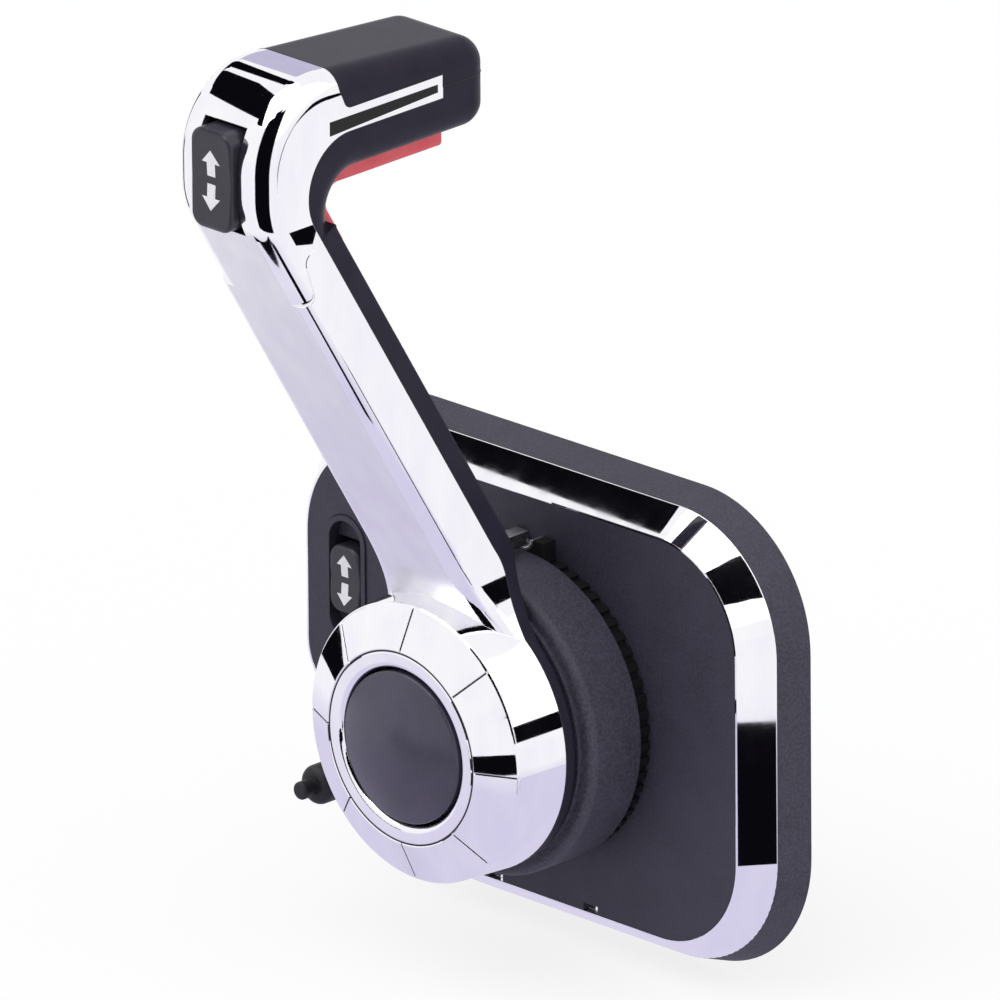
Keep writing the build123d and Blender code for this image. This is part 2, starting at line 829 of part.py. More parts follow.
def back_cover():
    """Black rear shell from the hub, up the arm, round the throat and under the grip."""
    body = (arm_skin & zone(back_zone())) + (upper_skin & zone(back_zone()))
    rim = bar(hub_back_radius, lever_back, drum_back)
    edge = rim.edges().filter_by(GeomType.CIRCLE).sort_by(Axis.Y)[-1]
    body += fillet(edge, hub_rim_edge)
    body -= bar(shaft_radius + slip, lever_back - 1, drum_back + 1)
    body -= side_slice(bar_band(skin + 1.0, 0.5, slip), bar_half_width + slip)
    slot_height = finger_height + bar_travel + 2 * slip
    slot_z = finger_base - slip + slot_height / 2
    body -= block(finger_width + 2 * slip, slot_height, lever_back - 1, drum_back, 0, slot_z)
    return body


def elbow_cap():
    """Bright elbow with the trim rocker's window and a tapering strip along each side of the grip."""
    body = upper_skin - zone(back_zone()) - zone(top_zone())
    return body - rocker_pocket(rocker_clear, rocker_clear_tall, grip_cover_front + 10, elbow_out + 1)


def grip_cover():
    return upper_skin & zone(top_zone())


def handle_core():
    """Rib-stiff core inside the grip that the three covers close on."""
    inside = upper_form(skin + slip)
    low = grip_under + bar_travel + skin
    window = make_face(Polyline(
        (grip_end_out, low), (rocker_frame_back, low), (rocker_frame_back, grip_end_top + core_headroom),
        (grip_end_out, grip_end_top + core_headroom), close=True))
    body = inside & zone(window)
    pocket_length = (rocker_frame_back - grip_end_out) / core_pockets
    for number in range(core_pockets):
        near = grip_end_out + number * pocket_length + skin
        body -= block(2 * (arm_half_width - 3 * skin), grip_end_top, near, near + pocket_length - 2 * skin, 0,
                      low + skin + grip_end_top / 2)
    return body


def handle_rocker_frame():
    """Cup behind the elbow's window, its side cheeks bored for the rocker's pin."""
    wall = rocker_frame_wall
    cup = rocker_pocket(rocker_clear + wall, rocker_clear_tall + wall, rocker_frame_back, elbow_out)
    cup = cup & upper_form(skin + slip)
    cup -= rocker_pocket(rocker_clear, rocker_clear_tall, rocker_frame_back + wall, elbow_out + 1)
    return cup - cross_pin(handle_rocker_width, rocker_pin_radius, handle_pin_out, 0, handle_rocker_centre)


def cross_pin(width, radius, out, x, z):
    """Pin along X through a rocker and the walls beside it."""
    length = width + 2 * (rocker_clear + rocker_frame_wall)
    start = Plane(origin=(x - length / 2, -out, z), x_dir=(0, 1, 0), z_dir=(1, 0, 0))
    return extrude(start * Circle(radius), length)


def rocker(width, height, back, front, x, z, pin_out):
    """Rocker button: shallow V face, softened front edges, bored for its pin."""
    body = block(width, height, back, front, x, z, rocker_corner)
    body = fillet(body.faces().sort_by(Axis.Y)[0].edges(), rocker_edge)
    tip = front - rocker_dish
    wedge = make_face(Polyline((tip, z), (front + 1, z - height), (front + 1, z + height), close=True))
    body -= Pos(x, 0, 0) * side_slice(wedge, width)
    return body - cross_pin(width, rocker_pin_radius + running, pin_out, x, z)


def handle_rocker():
    return rocker(handle_rocker_width, handle_rocker_height, handle_pin_out - rocker_tail,
                  elbow_out + handle_rocker_proud, 0, handle_rocker_centre, handle_pin_out)


def panel_rocker():
    return rocker(panel_rocker_width, panel_rocker_height, panel_pin_out - rocker_tail,
                  panel_out + panel_rocker_proud, panel_rocker_x, panel_rocker_z, panel_pin_out)


def panel_rocker_frame():
    """Upright insert in the plate: raised rim, a finger scoop above and below, and the rocker's well."""
    body = extrude(out_plane(panel_frame_back) * rocker_frame_face(), panel_out - panel_frame_back + panel_rim_proud)
    scoop_out = panel_out - panel_scoop_depth
    body -= extrude(out_plane(scoop_out) * rocker_frame_face(-panel_rim), panel_scoop_depth + panel_rim_proud + 1)
    body -= block(panel_rocker_width + 2 * rocker_clear, panel_rocker_height + 2 * rocker_clear_tall,
                  panel_frame_back + rocker_frame_wall, panel_out, panel_rocker_x, panel_rocker_z)
    return body - cross_pin(panel_rocker_width, rocker_pin_radius, panel_pin_out, panel_rocker_x, panel_rocker_z)


def handle_rocker_pin():
    return cross_pin(handle_rocker_width, rocker_pin_radius, handle_pin_out, 0, handle_rocker_centre)


def panel_rocker_pin():
    return cross_pin(panel_rocker_width, rocker_pin_radius, panel_pin_out, panel_rocker_x, panel_rocker_z)


def hub_face_ring():
    """Bright dial ring: cone with a radial mark every 45 degrees, a groove and a rounded inner lip."""
    bore = button_radius + ring_bore_gap
    body = turned([
        (bore, drum_front - ring_flange),
        (hub_radius - drum_wall - seat_gap, drum_front - ring_flange),
        (hub_radius - drum_wall - seat_gap, drum_front),
        (hub_radius, drum_front),
        (hub_radius - ring_rim_edge, drum_front + ring_rim_rise),
        (ring_groove_radius + tick_width, groove_out),
        (ring_groove_radius, groove_out - tick_depth),
        (ring_groove_radius - tick_width, groove_out),
        (bore, groove_out - ring_crest_drop),
    ])
    lip = body.edges().filter_by(GeomType.CIRCLE).filter_by(lambda e: abs(e.radius - bore) < 0.01)
    body = fillet(lip.sort_by(Axis.Y)[0], ring_lip_radius)
    slope = atan(ring_rise / (hub_radius - ring_groove_radius))
    middle = (hub_radius + ring_groove_radius) / 2
    length = (hub_radius - ring_groove_radius) / cos(slope) + 2
    mark = Pos(middle, 0, 0) * Rot(0, degrees(slope), 0) * Box(length, tick_width, 2 * tick_depth)
    level = out_plane((drum_front + ring_rim_rise + groove_out) / 2)
    for number in range(tick_count):
        body -= level * Rot(0, 0, 90 + 360 * number / tick_count) * mark
    return body


def button_sleeve():
    return tube(hub_radius - drum_wall - seat_gap, button_radius + slip, drum_back + drum_floor,
                drum_front - ring_flange)


def throttle_only_button():
    """Domed push button: hollow cup with a central boss that clears the hub's screw."""
    rim_out_edge = groove_out - button_seat_drop
    crown = rim_out_edge + button_crown
    back = rim_out_edge - button_skirt
    arc_height = button_crown - button_shoulder
    shoulder = rim_out_edge + button_shoulder
    mid = (button_radius / 2, shoulder + arc_height * button_fullness)
    edges = [
        Line((0, back), (button_radius, back)),
        Line((button_radius, back), (button_radius, shoulder)),
        ThreePointArc((button_radius, shoulder), mid, (0, crown)),
        Line((0, crown), (0, back)),
    ]
    body = revolve(turning_plane * make_face(Curve() + edges), Axis.Y)
    body -= bar(button_radius - button_wall, back - 1, rim_out_edge - button_wall)
    rim = body.edges().filter_by(GeomType.CIRCLE).filter_by(lambda e: abs(e.radius - button_radius) < 0.01)
    return fillet(rim.sort_by(Axis.Y)[0], button_rim_edge)


def hub_screw():
    """Socket screw that draws the lever's hub on to the shaft."""
    seat = drum_back + drum_floor
    body = bar(hub_screw_radius, drum_back + shaft_seat + drum_floor - hub_screw_length, seat)
    body += bar(hub_screw_head, seat, seat + hub_screw_head_height)
    socket = out_plane(seat + hub_screw_head_height) * RegularPolygon(hub_screw_radius, 6)
    return body - extrude(socket, -hub_socket_depth)


# ---------------------------------------------------------------- neutral lock


def rod_plane(height):
    """Plane square to the lock rod where its axis passes a height."""
    return Plane(origin=(0, -face_out(height, rod_depth), height), x_dir=(1, 0, 0),
                 z_dir=(0, -sin(lean_angle), cos(lean_angle)))


def neutral_lock_bar():
    """Red squeeze bar that follows the throat; a tab reaches through the cover to the lock rod."""
    body = side_slice(bar_band(bar_sunk, bar_proud), bar_half_width)
    outer = offset(lever_profile(arm_foot), bar_proud - 0.01)
    long_edges = [edge for edge in body.edges() if abs(abs(edge.center().X) - bar_half_width) < 0.01
                  and not outer.is_inside((-edge.center().Y, edge.center().Z, 0))]
    body = fillet(long_edges, bar_edge)
    tab_out = face_out(bar_foot_height, arm_thickness)
    reach = face_out(bar_foot_height + tab_rise, rod_depth) + rod_radius
    body += block(tab_width, tab_thickness, tab_out, reach, 0, bar_foot_height + tab_rise + tab_thickness / 2)
    return body


def lock_rod():
    """Rod inside the arm with the finger that points at the neutral lock ring's notch."""
    low = finger_base + finger_height / 2
    length = (rod_top_height - low) / cos(lean_angle)
    body = extrude(rod_plane(low) * Circle(rod_radius), length)
    finger_near = panel_out + lock_ring_thickness + finger_gap
    finger_far = face_out(low, rod_depth) + rod_radius
    body += block(finger_width, finger_height, finger_near, finger_far, 0, low)
    return body


def rod_guides():
    """Two saddles on the back cover that the lock rod slides in."""
    guides = []
    for height in guide_heights:
        depth = arm_thickness - skin - rod_depth
        base = rod_plane(height)
        block_face = Pos(0, (depth - guide_cap) / 2) * Rectangle(guide_width, depth + guide_cap)
        guides.append(extrude(base * (block_face - Circle(rod_radius + slip)), guide_length))
    return guides


# ---------------------------------------------------------------- stop switch


def stop_switch_barrel():
    """Switch body between the tray's floor and the plate, with the chamber of the plunger's flange."""
    body = bar(stop_barrel_radius, floor_out, panel_out, stop_x, stop_z)
    body -= bar(stop_barrel_radius - stop_wall, floor_out + stop_wall, panel_out + 1, stop_x, stop_z)
    return body


def stop_switch_collar():
    """Knurled nut that clamps the switch to the plate."""
    collar = Circle(stop_collar_radius)
    knurl = PolarLocations(stop_collar_radius, stop_knurls) * Circle(stop_collar_radius * pi / stop_knurls / 2)
    collar = collar - knurl - Circle(stop_post_radius + slip)
    return extrude(out_plane(panel_out) * Pos(stop_x, stop_z) * collar, stop_collar_height)


def stop_switch_plunger():
    """Post with its inner flange, the lanyard clip's bell and the pull tip."""
    flange_back = panel_out - stop_flange - stop_wall
    body = bar(stop_post_radius, flange_back, stop_reach - 1, stop_x, stop_z)
    body += bar(stop_barrel_radius - stop_wall - slip, flange_back, flange_back + stop_flange, stop_x, stop_z)
    bell_far = stop_reach - stop_tip_length - stop_neck
    bell = bar(stop_bell_radius, bell_far - stop_bell_length, bell_far, stop_x, stop_z)
    bell_edges = bell.edges().filter_by(GeomType.CIRCLE).sort_by(Axis.Y)
    body += fillet(bell_edges[0], stop_bell_edge)
    tip = bar(stop_tip_radius, stop_reach - stop_tip_length, stop_reach, stop_x, stop_z)
    tip_edges = tip.edges().filter_by(GeomType.CIRCLE).sort_by(Axis.Y)
    body += fillet(tip_edges[0], stop_tip_edge)
    return body


# ---------------------------------------------------------------- export

pieces = {
    "back_housing": back_housing,
    "mounting_gasket": mounting_gasket,
    "chrome_bezel": chrome_bezel,
    "face_plate": face_plate,
    "hub_disc": hub_disc,
    "neutral_lock_ring": neutral_lock_ring,
    "front_bush": front_bush,
    "thrust_washer": thrust_washer,
    "module_case": module_case,
    "module_cover": module_cover,
    "tray_screws": tray_screws,
    "cover_screws": cover_screws,
    "rear_bush": rear_bush,
    "shift_bush": shift_bush,
    "cable_bracket": cable_bracket,
    "bracket_screws": bracket_screws,
    "panel_rocker_frame": panel_rocker_frame,
    "panel_rocker_pin": panel_rocker_pin,
    "panel_rocker": panel_rocker,
    "stop_switch_barrel": stop_switch_barrel,
    "stop_switch_collar": stop_switch_collar,
    "stop_switch_plunger": stop_switch_plunger,
    "hub_shaft": hub_shaft,
    "hub_screw": hub_screw,
    "drive_gear": drive_gear,
    "throttle_crank": throttle_crank,
    "throttle_nut": lambda: shaft_nut(shaft_radius, 0),
    "shift_shaft": shift_shaft,
    "shift_gear": shift_gear,
    "shift_crank": shift_crank,
    "shift_nut": lambda: shaft_nut(shift_shaft_radius, shift_z),
    "arm_shell": arm_shell,
    "back_cover": back_cover,
    "elbow_cap": elbow_cap,
    "grip_cover": grip_cover,
    "handle_core": handle_core,
    "hub_face_ring": hub_face_ring,
    "button_sleeve": button_sleeve,
    "throttle_only_button": throttle_only_button,
    "handle_rocker_frame": handle_rocker_frame,
    "handle_rocker_pin": handle_rocker_pin,
    "handle_rocker": handle_rocker,
    "neutral_lock_bar": neutral_lock_bar,
    "lock_rod": lock_rod,
    "rod_guides": rod_guides,
}

os.makedirs("parts", exist_ok=True)
for name, make in pieces.items():
    made = make()
    shape = Compound(children=made) if isinstance(made, list) else made
    export_step(shape, "parts/" + name + ".step")
    print(name)
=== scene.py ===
# %% [markdown]
# # A boat's throttle and shift lever
# A side-mounted control for one outboard engine: a panel bolted to the boat's side, a round hub,
# and a bright lever that leans out of it and ends in a grip with a trim rocker.
# The solid model comes first, as a fixed frame with a body for everything that moves. This script
# gives it finishes, printed marks, light and a camera, and never changes its dimensions.

# %% Load the frame
import json
import math

import bmesh
import bpy
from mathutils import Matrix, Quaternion, Vector
from mathutils.bvhtree import BVHTree

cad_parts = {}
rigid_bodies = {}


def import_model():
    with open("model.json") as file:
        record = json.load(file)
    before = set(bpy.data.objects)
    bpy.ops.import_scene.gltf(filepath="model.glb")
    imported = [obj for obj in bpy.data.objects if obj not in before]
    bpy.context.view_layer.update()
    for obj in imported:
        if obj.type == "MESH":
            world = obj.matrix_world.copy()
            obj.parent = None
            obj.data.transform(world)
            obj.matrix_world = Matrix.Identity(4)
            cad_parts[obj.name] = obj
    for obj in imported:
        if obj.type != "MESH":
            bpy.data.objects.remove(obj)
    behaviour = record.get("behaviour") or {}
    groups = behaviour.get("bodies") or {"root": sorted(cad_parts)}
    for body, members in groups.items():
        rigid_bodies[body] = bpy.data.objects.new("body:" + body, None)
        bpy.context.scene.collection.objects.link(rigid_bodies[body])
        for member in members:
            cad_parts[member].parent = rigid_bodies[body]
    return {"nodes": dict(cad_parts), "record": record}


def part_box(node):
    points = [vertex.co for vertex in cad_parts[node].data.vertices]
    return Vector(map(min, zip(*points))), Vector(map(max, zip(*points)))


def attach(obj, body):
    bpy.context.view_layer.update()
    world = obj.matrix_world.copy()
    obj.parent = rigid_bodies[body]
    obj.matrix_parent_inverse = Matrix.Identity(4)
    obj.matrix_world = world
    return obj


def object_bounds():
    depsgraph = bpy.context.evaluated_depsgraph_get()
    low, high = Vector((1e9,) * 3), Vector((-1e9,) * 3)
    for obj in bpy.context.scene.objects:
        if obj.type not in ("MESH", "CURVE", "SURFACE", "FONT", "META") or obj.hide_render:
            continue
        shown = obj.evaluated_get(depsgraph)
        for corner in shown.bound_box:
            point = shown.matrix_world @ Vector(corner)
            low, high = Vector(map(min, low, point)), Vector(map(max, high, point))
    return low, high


for leftover in list(bpy.data.objects):
    bpy.data.objects.remove(leftover)
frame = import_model()
cad_low, cad_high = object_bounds()
mm = 0.001
print("CAD box, mm:", [round(v / mm, 1) for v in cad_high - cad_low])

# %% [markdown]
# ## The camera first
# A product picture of this kind is taken with a long lens from a few metres away, so that the
# lines of the panel stay nearly parallel. A camera placed by azimuth, elevation and distance
# round one aim point is easy to read and to correct, so its place is worked out from those.

# %% Camera
aim = Vector((0.0, -41.7, 76.8)) * mm
camera_azimuth = math.radians(44.81)
camera_elevation = math.radians(20.73)
camera_distance = 12.0
camera_roll = math.radians(-0.44)
sensor_width, lens_length = 36.0, 1270.6

towards_camera = Vector((
    math.sin(camera_azimuth) * math.cos(camera_elevation),
    -math.cos(camera_azimuth) * math.cos(camera_elevation),
    math.sin(camera_elevation),
))
camera_data = bpy.data.cameras.new("Camera")
camera_data.sensor_width = sensor_width
camera_data.lens = lens_length
camera = bpy.data.objects.new("Camera", camera_data)
bpy.context.scene.collection.objects.link(camera)
camera.location = aim + towards_camera * camera_distance
camera.rotation_mode = "QUATERNION"
camera.rotation_quaternion = (
    (-towards_camera).to_track_quat("-Z", "Y") @ Quaternion((0, 0, 1), camera_roll)
)
bpy.context.scene.camera = camera
print("camera at, m:", [round(v, 2) for v in camera.location])

# %% [markdown]
# ## Tools for the finishes
# Every finish here is a small node tree on the Principled shader. Four short helpers keep the
# trees readable: one starts a material, one adds a node with its settings, one makes a noise
# whose grains have a size in metres on the object itself, and one finds the edges of a piece by
# comparing its true normal with the normal of a rounded copy. Real mouldings have rounded edges
# that catch light and get polished by hands, and this finds them with no extra geometry; the
# finishes paint them paler, partly as that wear and partly as a painted highlight.

# %% Node helpers
def shade(red, green, blue):
    """A screen colour, 0 to 255, as the linear colour that a shader wants."""
    def linear(v):
        v = v / 255
        return v / 12.92 if v <= 0.04045 else ((v + 0.055) / 1.055) ** 2.4
    return (linear(red), linear(green), linear(blue), 1.0)


def start_finish(name):
    """A new material: its tree and its Principled shader."""
    material = bpy.data.materials.new(name)
    material.use_nodes = True
    return material, material.node_tree, material.node_tree.nodes["Principled BSDF"]


def add(tree, kind, values=None, **settings):
    """A node with its settings, and its unlinked inputs set by name or number."""
    node = tree.nodes.new(kind)
    for name, value in settings.items():
        setattr(node, name, value)
    for name, value in (values or {}).items():
        node.inputs[name].default_value = value
    return node


def grain(tree, size, detail=2.0, stretch=(1, 1, 1)):
    """Noise on Object coordinates, with grains of that size in metres. Its factor socket."""
    place = add(tree, "ShaderNodeTexCoord")
    scale = add(tree, "ShaderNodeMapping", {"Scale": stretch})
    noise = add(tree, "ShaderNodeTexNoise", {"Scale": 1 / size, "Detail": detail})
    tree.links.new(place.outputs["Object"], scale.inputs["Vector"])
    tree.links.new(scale.outputs["Vector"], noise.inputs["Vector"])
    return noise.outputs[0]


def between(tree, factor, low, high, start=0.35, end=0.65):
    """A factor socket stretched to run from low to high."""
    spread = add(tree, "ShaderNodeMapRange", {1: start, 2: end, 3: low, 4: high})
    tree.links.new(factor, spread.inputs[0])
    return spread.outputs[0]


def mixed(tree, factor, first, second):
    """A colour that goes from first to second with a factor socket."""
    mix = add(tree, "ShaderNodeMix", data_type="RGBA")
    tree.links.new(factor, mix.inputs[0])
    for socket, colour in ((mix.inputs[6], first), (mix.inputs[7], second)):
        if isinstance(colour, tuple):
            socket.default_value = colour
        else:
            tree.links.new(colour, socket)
    return mix.outputs[2]


def rounded_edges(tree, radius):
    """The normal of the piece with edges of that radius, and a mask that is 1 on the edges."""
    rounded = add(tree, "ShaderNodeBevel", {"Radius": radius}, samples=4)
    true = add(tree, "ShaderNodeNewGeometry")
    likeness = add(tree, "ShaderNodeVectorMath", operation="DOT_PRODUCT")
    tree.links.new(rounded.outputs[0], likeness.inputs[0])
    tree.links.new(true.outputs["Normal"], likeness.inputs[1])
    return rounded.outputs[0], between(tree, likeness.outputs["Value"], 1.0, 0.0, 0.80, 0.995)


def relief(tree, height, depth, normal=None, strength=1.0):
    """Bump of that depth in metres from a height socket. Its normal socket."""
    bump = add(tree, "ShaderNodeBump", {"Distance": depth, "Strength": strength})
    tree.links.new(height, bump.inputs["Height"])
    if normal is not None:
        tree.links.new(normal, bump.inputs["Normal"])
    return bump.outputs[0]


# %% [markdown]
# ## Black mouldings
# Most of the control is black plastic, and no two mouldings are quite alike: the housing has a
# sharp spark-eroded grain, the plate a finer one, the grip is satin, and the palm button is
# almost smooth. One recipe with a few sizes makes them all. It mixes two nearly equal colours
# through a broad noise, varies the roughness, adds a fine grain as relief, and makes the edges a
# little paler and smoother: partly where hands and cloths polish them, and partly as a painted
# highlight where the rounded edges catch the light.

# %% Black plastics
def moulded_plastic(name, colour, grain_size, grain_depth, roughness, edge_radius=0.5 * mm,
                    edge_gain=1.5, speckle=0.0, specular=0.5):
    """Black plastic with a grain of that size and depth, and edges paler from wear and a painted
    highlight.
    """
    material, tree, shader = start_finish(name)
    rounded, edges = rounded_edges(tree, edge_radius)
    broad = between(tree, grain(tree, 14 * mm, 3.0), 0.0, 1.0)
    paler = tuple(min(1.0, v * 1.22) for v in colour[:3]) + (1.0,)
    worn_and_highlit = tuple(min(1.0, v * edge_gain) for v in colour[:3]) + (1.0,)
    body = mixed(tree, broad, colour, paler)
    fine = grain(tree, grain_size, 3.0)
    if speckle:
        pits = between(tree, fine, 0.0, speckle, 0.42, 0.60)
        body = mixed(tree, pits, body, tuple(v * 3.2 for v in colour[:3]) + (1.0,))
    # The edge gain paints the edges paler: partly wear, partly a painted highlight.
    tree.links.new(mixed(tree, edges, body, worn_and_highlit), shader.inputs["Base Color"])
    rough = between(tree, fine, roughness * 0.88, min(1.0, roughness * 1.12))
    tree.links.new(rough, shader.inputs["Roughness"])
    tree.links.new(relief(tree, fine, grain_depth, rounded), shader.inputs["Normal"])
    shader.inputs["IOR"].default_value = 1.47
    shader.inputs["Specular IOR Level"].default_value = specular
    return material


# The grip and the rocker get the largest edge gains, the strongest painted highlight on their
# edges.
finishes = {
    "textured_black": moulded_plastic("Textured black housing", shade(50, 48, 60), 0.95 * mm,
                                      0.22 * mm, 0.62, speckle=0.34),
    "plate_black": moulded_plastic("Fine black plate", shade(45, 43, 56), 0.75 * mm, 0.10 * mm,
                                   0.58, speckle=0.26),
    # The lock ring is much darker than the other mouldings: painted shade for the gap behind the
    # drum where it sits.
    "lock_ring_black": moulded_plastic("Lock ring in painted shade", shade(14, 13, 17), 0.35 * mm,
                                       0.04 * mm, 0.60, specular=0.3),
    "satin_black": moulded_plastic("Satin black grip", shade(41, 38, 51), 0.30 * mm, 0.03 * mm,
                                   0.36, 1.0 * mm, 1.8, specular=0.10),
    "button_black": moulded_plastic("Smooth black button", shade(57, 53, 72), 0.22 * mm,
                                    0.006 * mm, 0.27, specular=0.6),
    "rocker_black": moulded_plastic("Black rocker", shade(42, 40, 50), 0.25 * mm, 0.012 * mm,
                                    0.30, 1.3 * mm, 2.2),
    "plain_black": moulded_plastic("Plain black moulding", shade(24, 23, 28), 0.40 * mm,
                                   0.05 * mm, 0.55),
    "washer_black": moulded_plastic("Black washer", shade(30, 30, 33), 0.30 * mm, 0.03 * mm,
                                    0.42),
}
print("black mouldings:", len(finishes))

# %% [markdown]
# ## Bright chrome
# The lever, the elbow, the dial ring and the bezel are polished zinc with a chrome plating. Chrome
# has hardly a colour of its own: nearly all that is seen is the room round it. So the material is
# a bare metal with a very low roughness, a little unevenness in that roughness as from wiping,
# and a faint wide ripple, since plated castings are never optically flat. Two more things come
# from casting and polishing: the walls lean outwards by some degrees of draft, and the broad face
# of the arm is lapped to a silky finish while its edges stay bright.

# %% Chrome
arm_lean = math.radians(31.3)
arm_front = (0.0, -math.cos(arm_lean), -math.sin(arm_lean))
lever_draft = 0.17
lapped_roughness = 0.42


def facing(tree, direction, start, end):
    """A mask that is 1 where the piece faces a direction in its own frame."""
    place = add(tree, "ShaderNodeTexCoord")
    likeness = add(tree, "ShaderNodeVectorMath", {1: direction}, operation="DOT_PRODUCT")
    tree.links.new(place.outputs["Normal"], likeness.inputs[0])
    return between(tree, likeness.outputs["Value"], 0.0, 1.0, start, end)


def drafted(tree, normal, draft):
    """That normal leaned a little towards the helmsman, as on a wall with draft."""
    lean = add(tree, "ShaderNodeVectorMath", {1: (0.0, -draft, 0.0)}, operation="ADD")
    unit = add(tree, "ShaderNodeVectorMath", operation="NORMALIZE")
    tree.links.new(normal, lean.inputs[0])
    tree.links.new(lean.outputs[0], unit.inputs[0])
    return unit.outputs[0]


def plated_chrome(name, draft):
    """Chrome on walls with that draft, silky on the arm's front and mirror bright elsewhere."""
    material, tree, shader = start_finish(name)
    shader.inputs["Metallic"].default_value = 1.0
    rounded, edges = rounded_edges(tree, 0.35 * mm)
    wiped = grain(tree, 9 * mm, 5.0, (1.0, 1.0, 0.35))
    tint = mixed(tree, between(tree, wiped, 0.0, 1.0), shade(248, 248, 251), shade(243, 242, 249))
    tree.links.new(mixed(tree, edges, tint, shade(250, 250, 252)), shader.inputs["Base Color"])
    bright = between(tree, wiped, 0.02, 0.045)
    silky = add(tree, "ShaderNodeMix", {3: lapped_roughness}, data_type="FLOAT")
    tree.links.new(facing(tree, arm_front, 0.985, 0.999), silky.inputs[0])
    tree.links.new(bright, silky.inputs[2])
    tree.links.new(silky.outputs[0], shader.inputs["Roughness"])
    ripple = relief(tree, grain(tree, 30 * mm, 1.0), 0.05 * mm, drafted(tree, rounded, draft), 0.12)
    tree.links.new(ripple, shader.inputs["Normal"])
    return material


finishes["bright_chrome"] = plated_chrome("Bright chrome plating", lever_draft)
bezel_chrome = plated_chrome("Pressed chrome bezel", 0.0)

# %% [markdown]
# ## The metals behind the panel
# The gear module is seen from behind: a sandy aluminium casting, stainless brackets and nuts
# brushed along their length, steel gears with cutter marks, and bronze bushes. They share one
# recipe, a metal with a grain that can be stretched into brushing, and differ in their numbers.

# %% Working metals
def bare_metal(name, colour, roughness, grain_size, grain_depth, stretch=(1, 1, 1)):
    """A bare metal with stains, and tool marks that the stretch draws out into brushing."""
    material, tree, shader = start_finish(name)
    shader.inputs["Metallic"].default_value = 1.0
    rounded, edges = rounded_edges(tree, 0.3 * mm)
    stains = between(tree, grain(tree, 8 * mm, 4.0), 0.0, 1.0)
    duller = tuple(v * 0.78 for v in colour[:3]) + (1.0,)
    brighter = tuple(min(1.0, v * 1.25) for v in colour[:3]) + (1.0,)
    body = mixed(tree, stains, colour, duller)
    tree.links.new(mixed(tree, edges, body, brighter), shader.inputs["Base Color"])
    marks = grain(tree, grain_size, 4.0, stretch)
    tree.links.new(between(tree, marks, roughness * 0.8, roughness * 1.25),
                   shader.inputs["Roughness"])
    tree.links.new(relief(tree, marks, grain_depth, rounded), shader.inputs["Normal"])
    return material


finishes["cast_aluminium"] = bare_metal(
    "Cast aluminium", shade(176, 178, 182), 0.48, 0.7 * mm, 0.06 * mm)
finishes["stainless"] = bare_metal(
    "Brushed stainless", shade(196, 196, 198), 0.28, 0.5 * mm, 0.02 * mm, (1, 1, 0.06))
finishes["steel"] = bare_metal(
    "Machined steel", shade(150, 150, 156), 0.32, 0.4 * mm, 0.02 * mm, (1, 0.1, 1))
finishes["bronze"] = bare_metal(
    "Sintered bronze", shade(158, 116, 66), 0.46, 0.3 * mm, 0.03 * mm)

# %% [markdown]
# ## Gasket, lock bar and printed marks
# The gasket is closed-cell foam rubber: small round cells, so a cell pattern and not a noise. The
# lock bar is red nylon, slightly translucent, which subsurface light gives. The rocker's arrows
# are pad-printed white ink, thin enough to show a little of the grain under it.

# %% Soft and coloured finishes
def cell_foam(name):
    """Closed-cell foam: pale walls round small dark cells."""
    material, tree, shader = start_finish(name)
    place = add(tree, "ShaderNodeTexCoord")
    cells = add(tree, "ShaderNodeTexVoronoi", {"Scale": 1 / (0.8 * mm)})
    tree.links.new(place.outputs["Object"], cells.inputs["Vector"])
    walls = between(tree, cells.outputs["Distance"], 0.0, 1.0, 0.05, 0.6)
    tree.links.new(mixed(tree, walls, shade(26, 26, 28), shade(46, 46, 49)),
                   shader.inputs["Base Color"])
    tree.links.new(relief(tree, walls, 0.2 * mm), shader.inputs["Normal"])
    shader.inputs["Roughness"].default_value = 0.9
    return material


def red_nylon(name):
    """Slightly translucent red plastic with paler edges, a painted highlight."""
    material, tree, shader = start_finish(name)
    rounded, edges = rounded_edges(tree, 0.6 * mm)
    broad = between(tree, grain(tree, 12 * mm, 3.0), 0.0, 1.0)
    body = mixed(tree, broad, shade(226, 84, 94), shade(232, 96, 104))
    # The paler edge colour is a painted highlight.
    tree.links.new(mixed(tree, edges, body, shade(240, 140, 146)), shader.inputs["Base Color"])
    shader.inputs["Subsurface Weight"].default_value = 0.12
    shader.inputs["Subsurface Scale"].default_value = 1.5 * mm
    fine = grain(tree, 0.3 * mm, 3.0)
    tree.links.new(between(tree, fine, 0.38, 0.52), shader.inputs["Roughness"])
    tree.links.new(relief(tree, fine, 0.02 * mm, rounded), shader.inputs["Normal"])
    return material


def printed_ink(name, thick, thin):
    """A coat of ink that goes from its thick to its thin colour over the grain."""
    material, tree, shader = start_finish(name)
    cover = between(tree, grain(tree, 0.35 * mm, 3.0), 0.0, 1.0)
    tree.links.new(mixed(tree, cover, thick, thin), shader.inputs["Base Color"])
    tree.links.new(relief(tree, cover, 0.01 * mm), shader.inputs["Normal"])
    shader.inputs["Roughness"].default_value = 0.5
    return material


finishes["foam_rubber"] = cell_foam("Foam rubber gasket")
finishes["lock_red"] = red_nylon("Red nylon")
white_ink = printed_ink("White ink", shade(240, 239, 243), shade(224, 223, 230))
# The black fill fills the dial's marks and groove, and also paints the shade along the seams.
black_fill_and_seam_shade = printed_ink("Black fill and seam shade", shade(22, 21, 25), shade(32, 31, 36))
# The glossy black piece on the grip's strips is a painted reflection: the dark band that the chrome
# strip shows.
strip_reflection_black = moulded_plastic("Glossy black painted reflection", shade(8, 8, 11), 0.3 * mm, 0.002 * mm, 0.25,
                             specular=0.3)

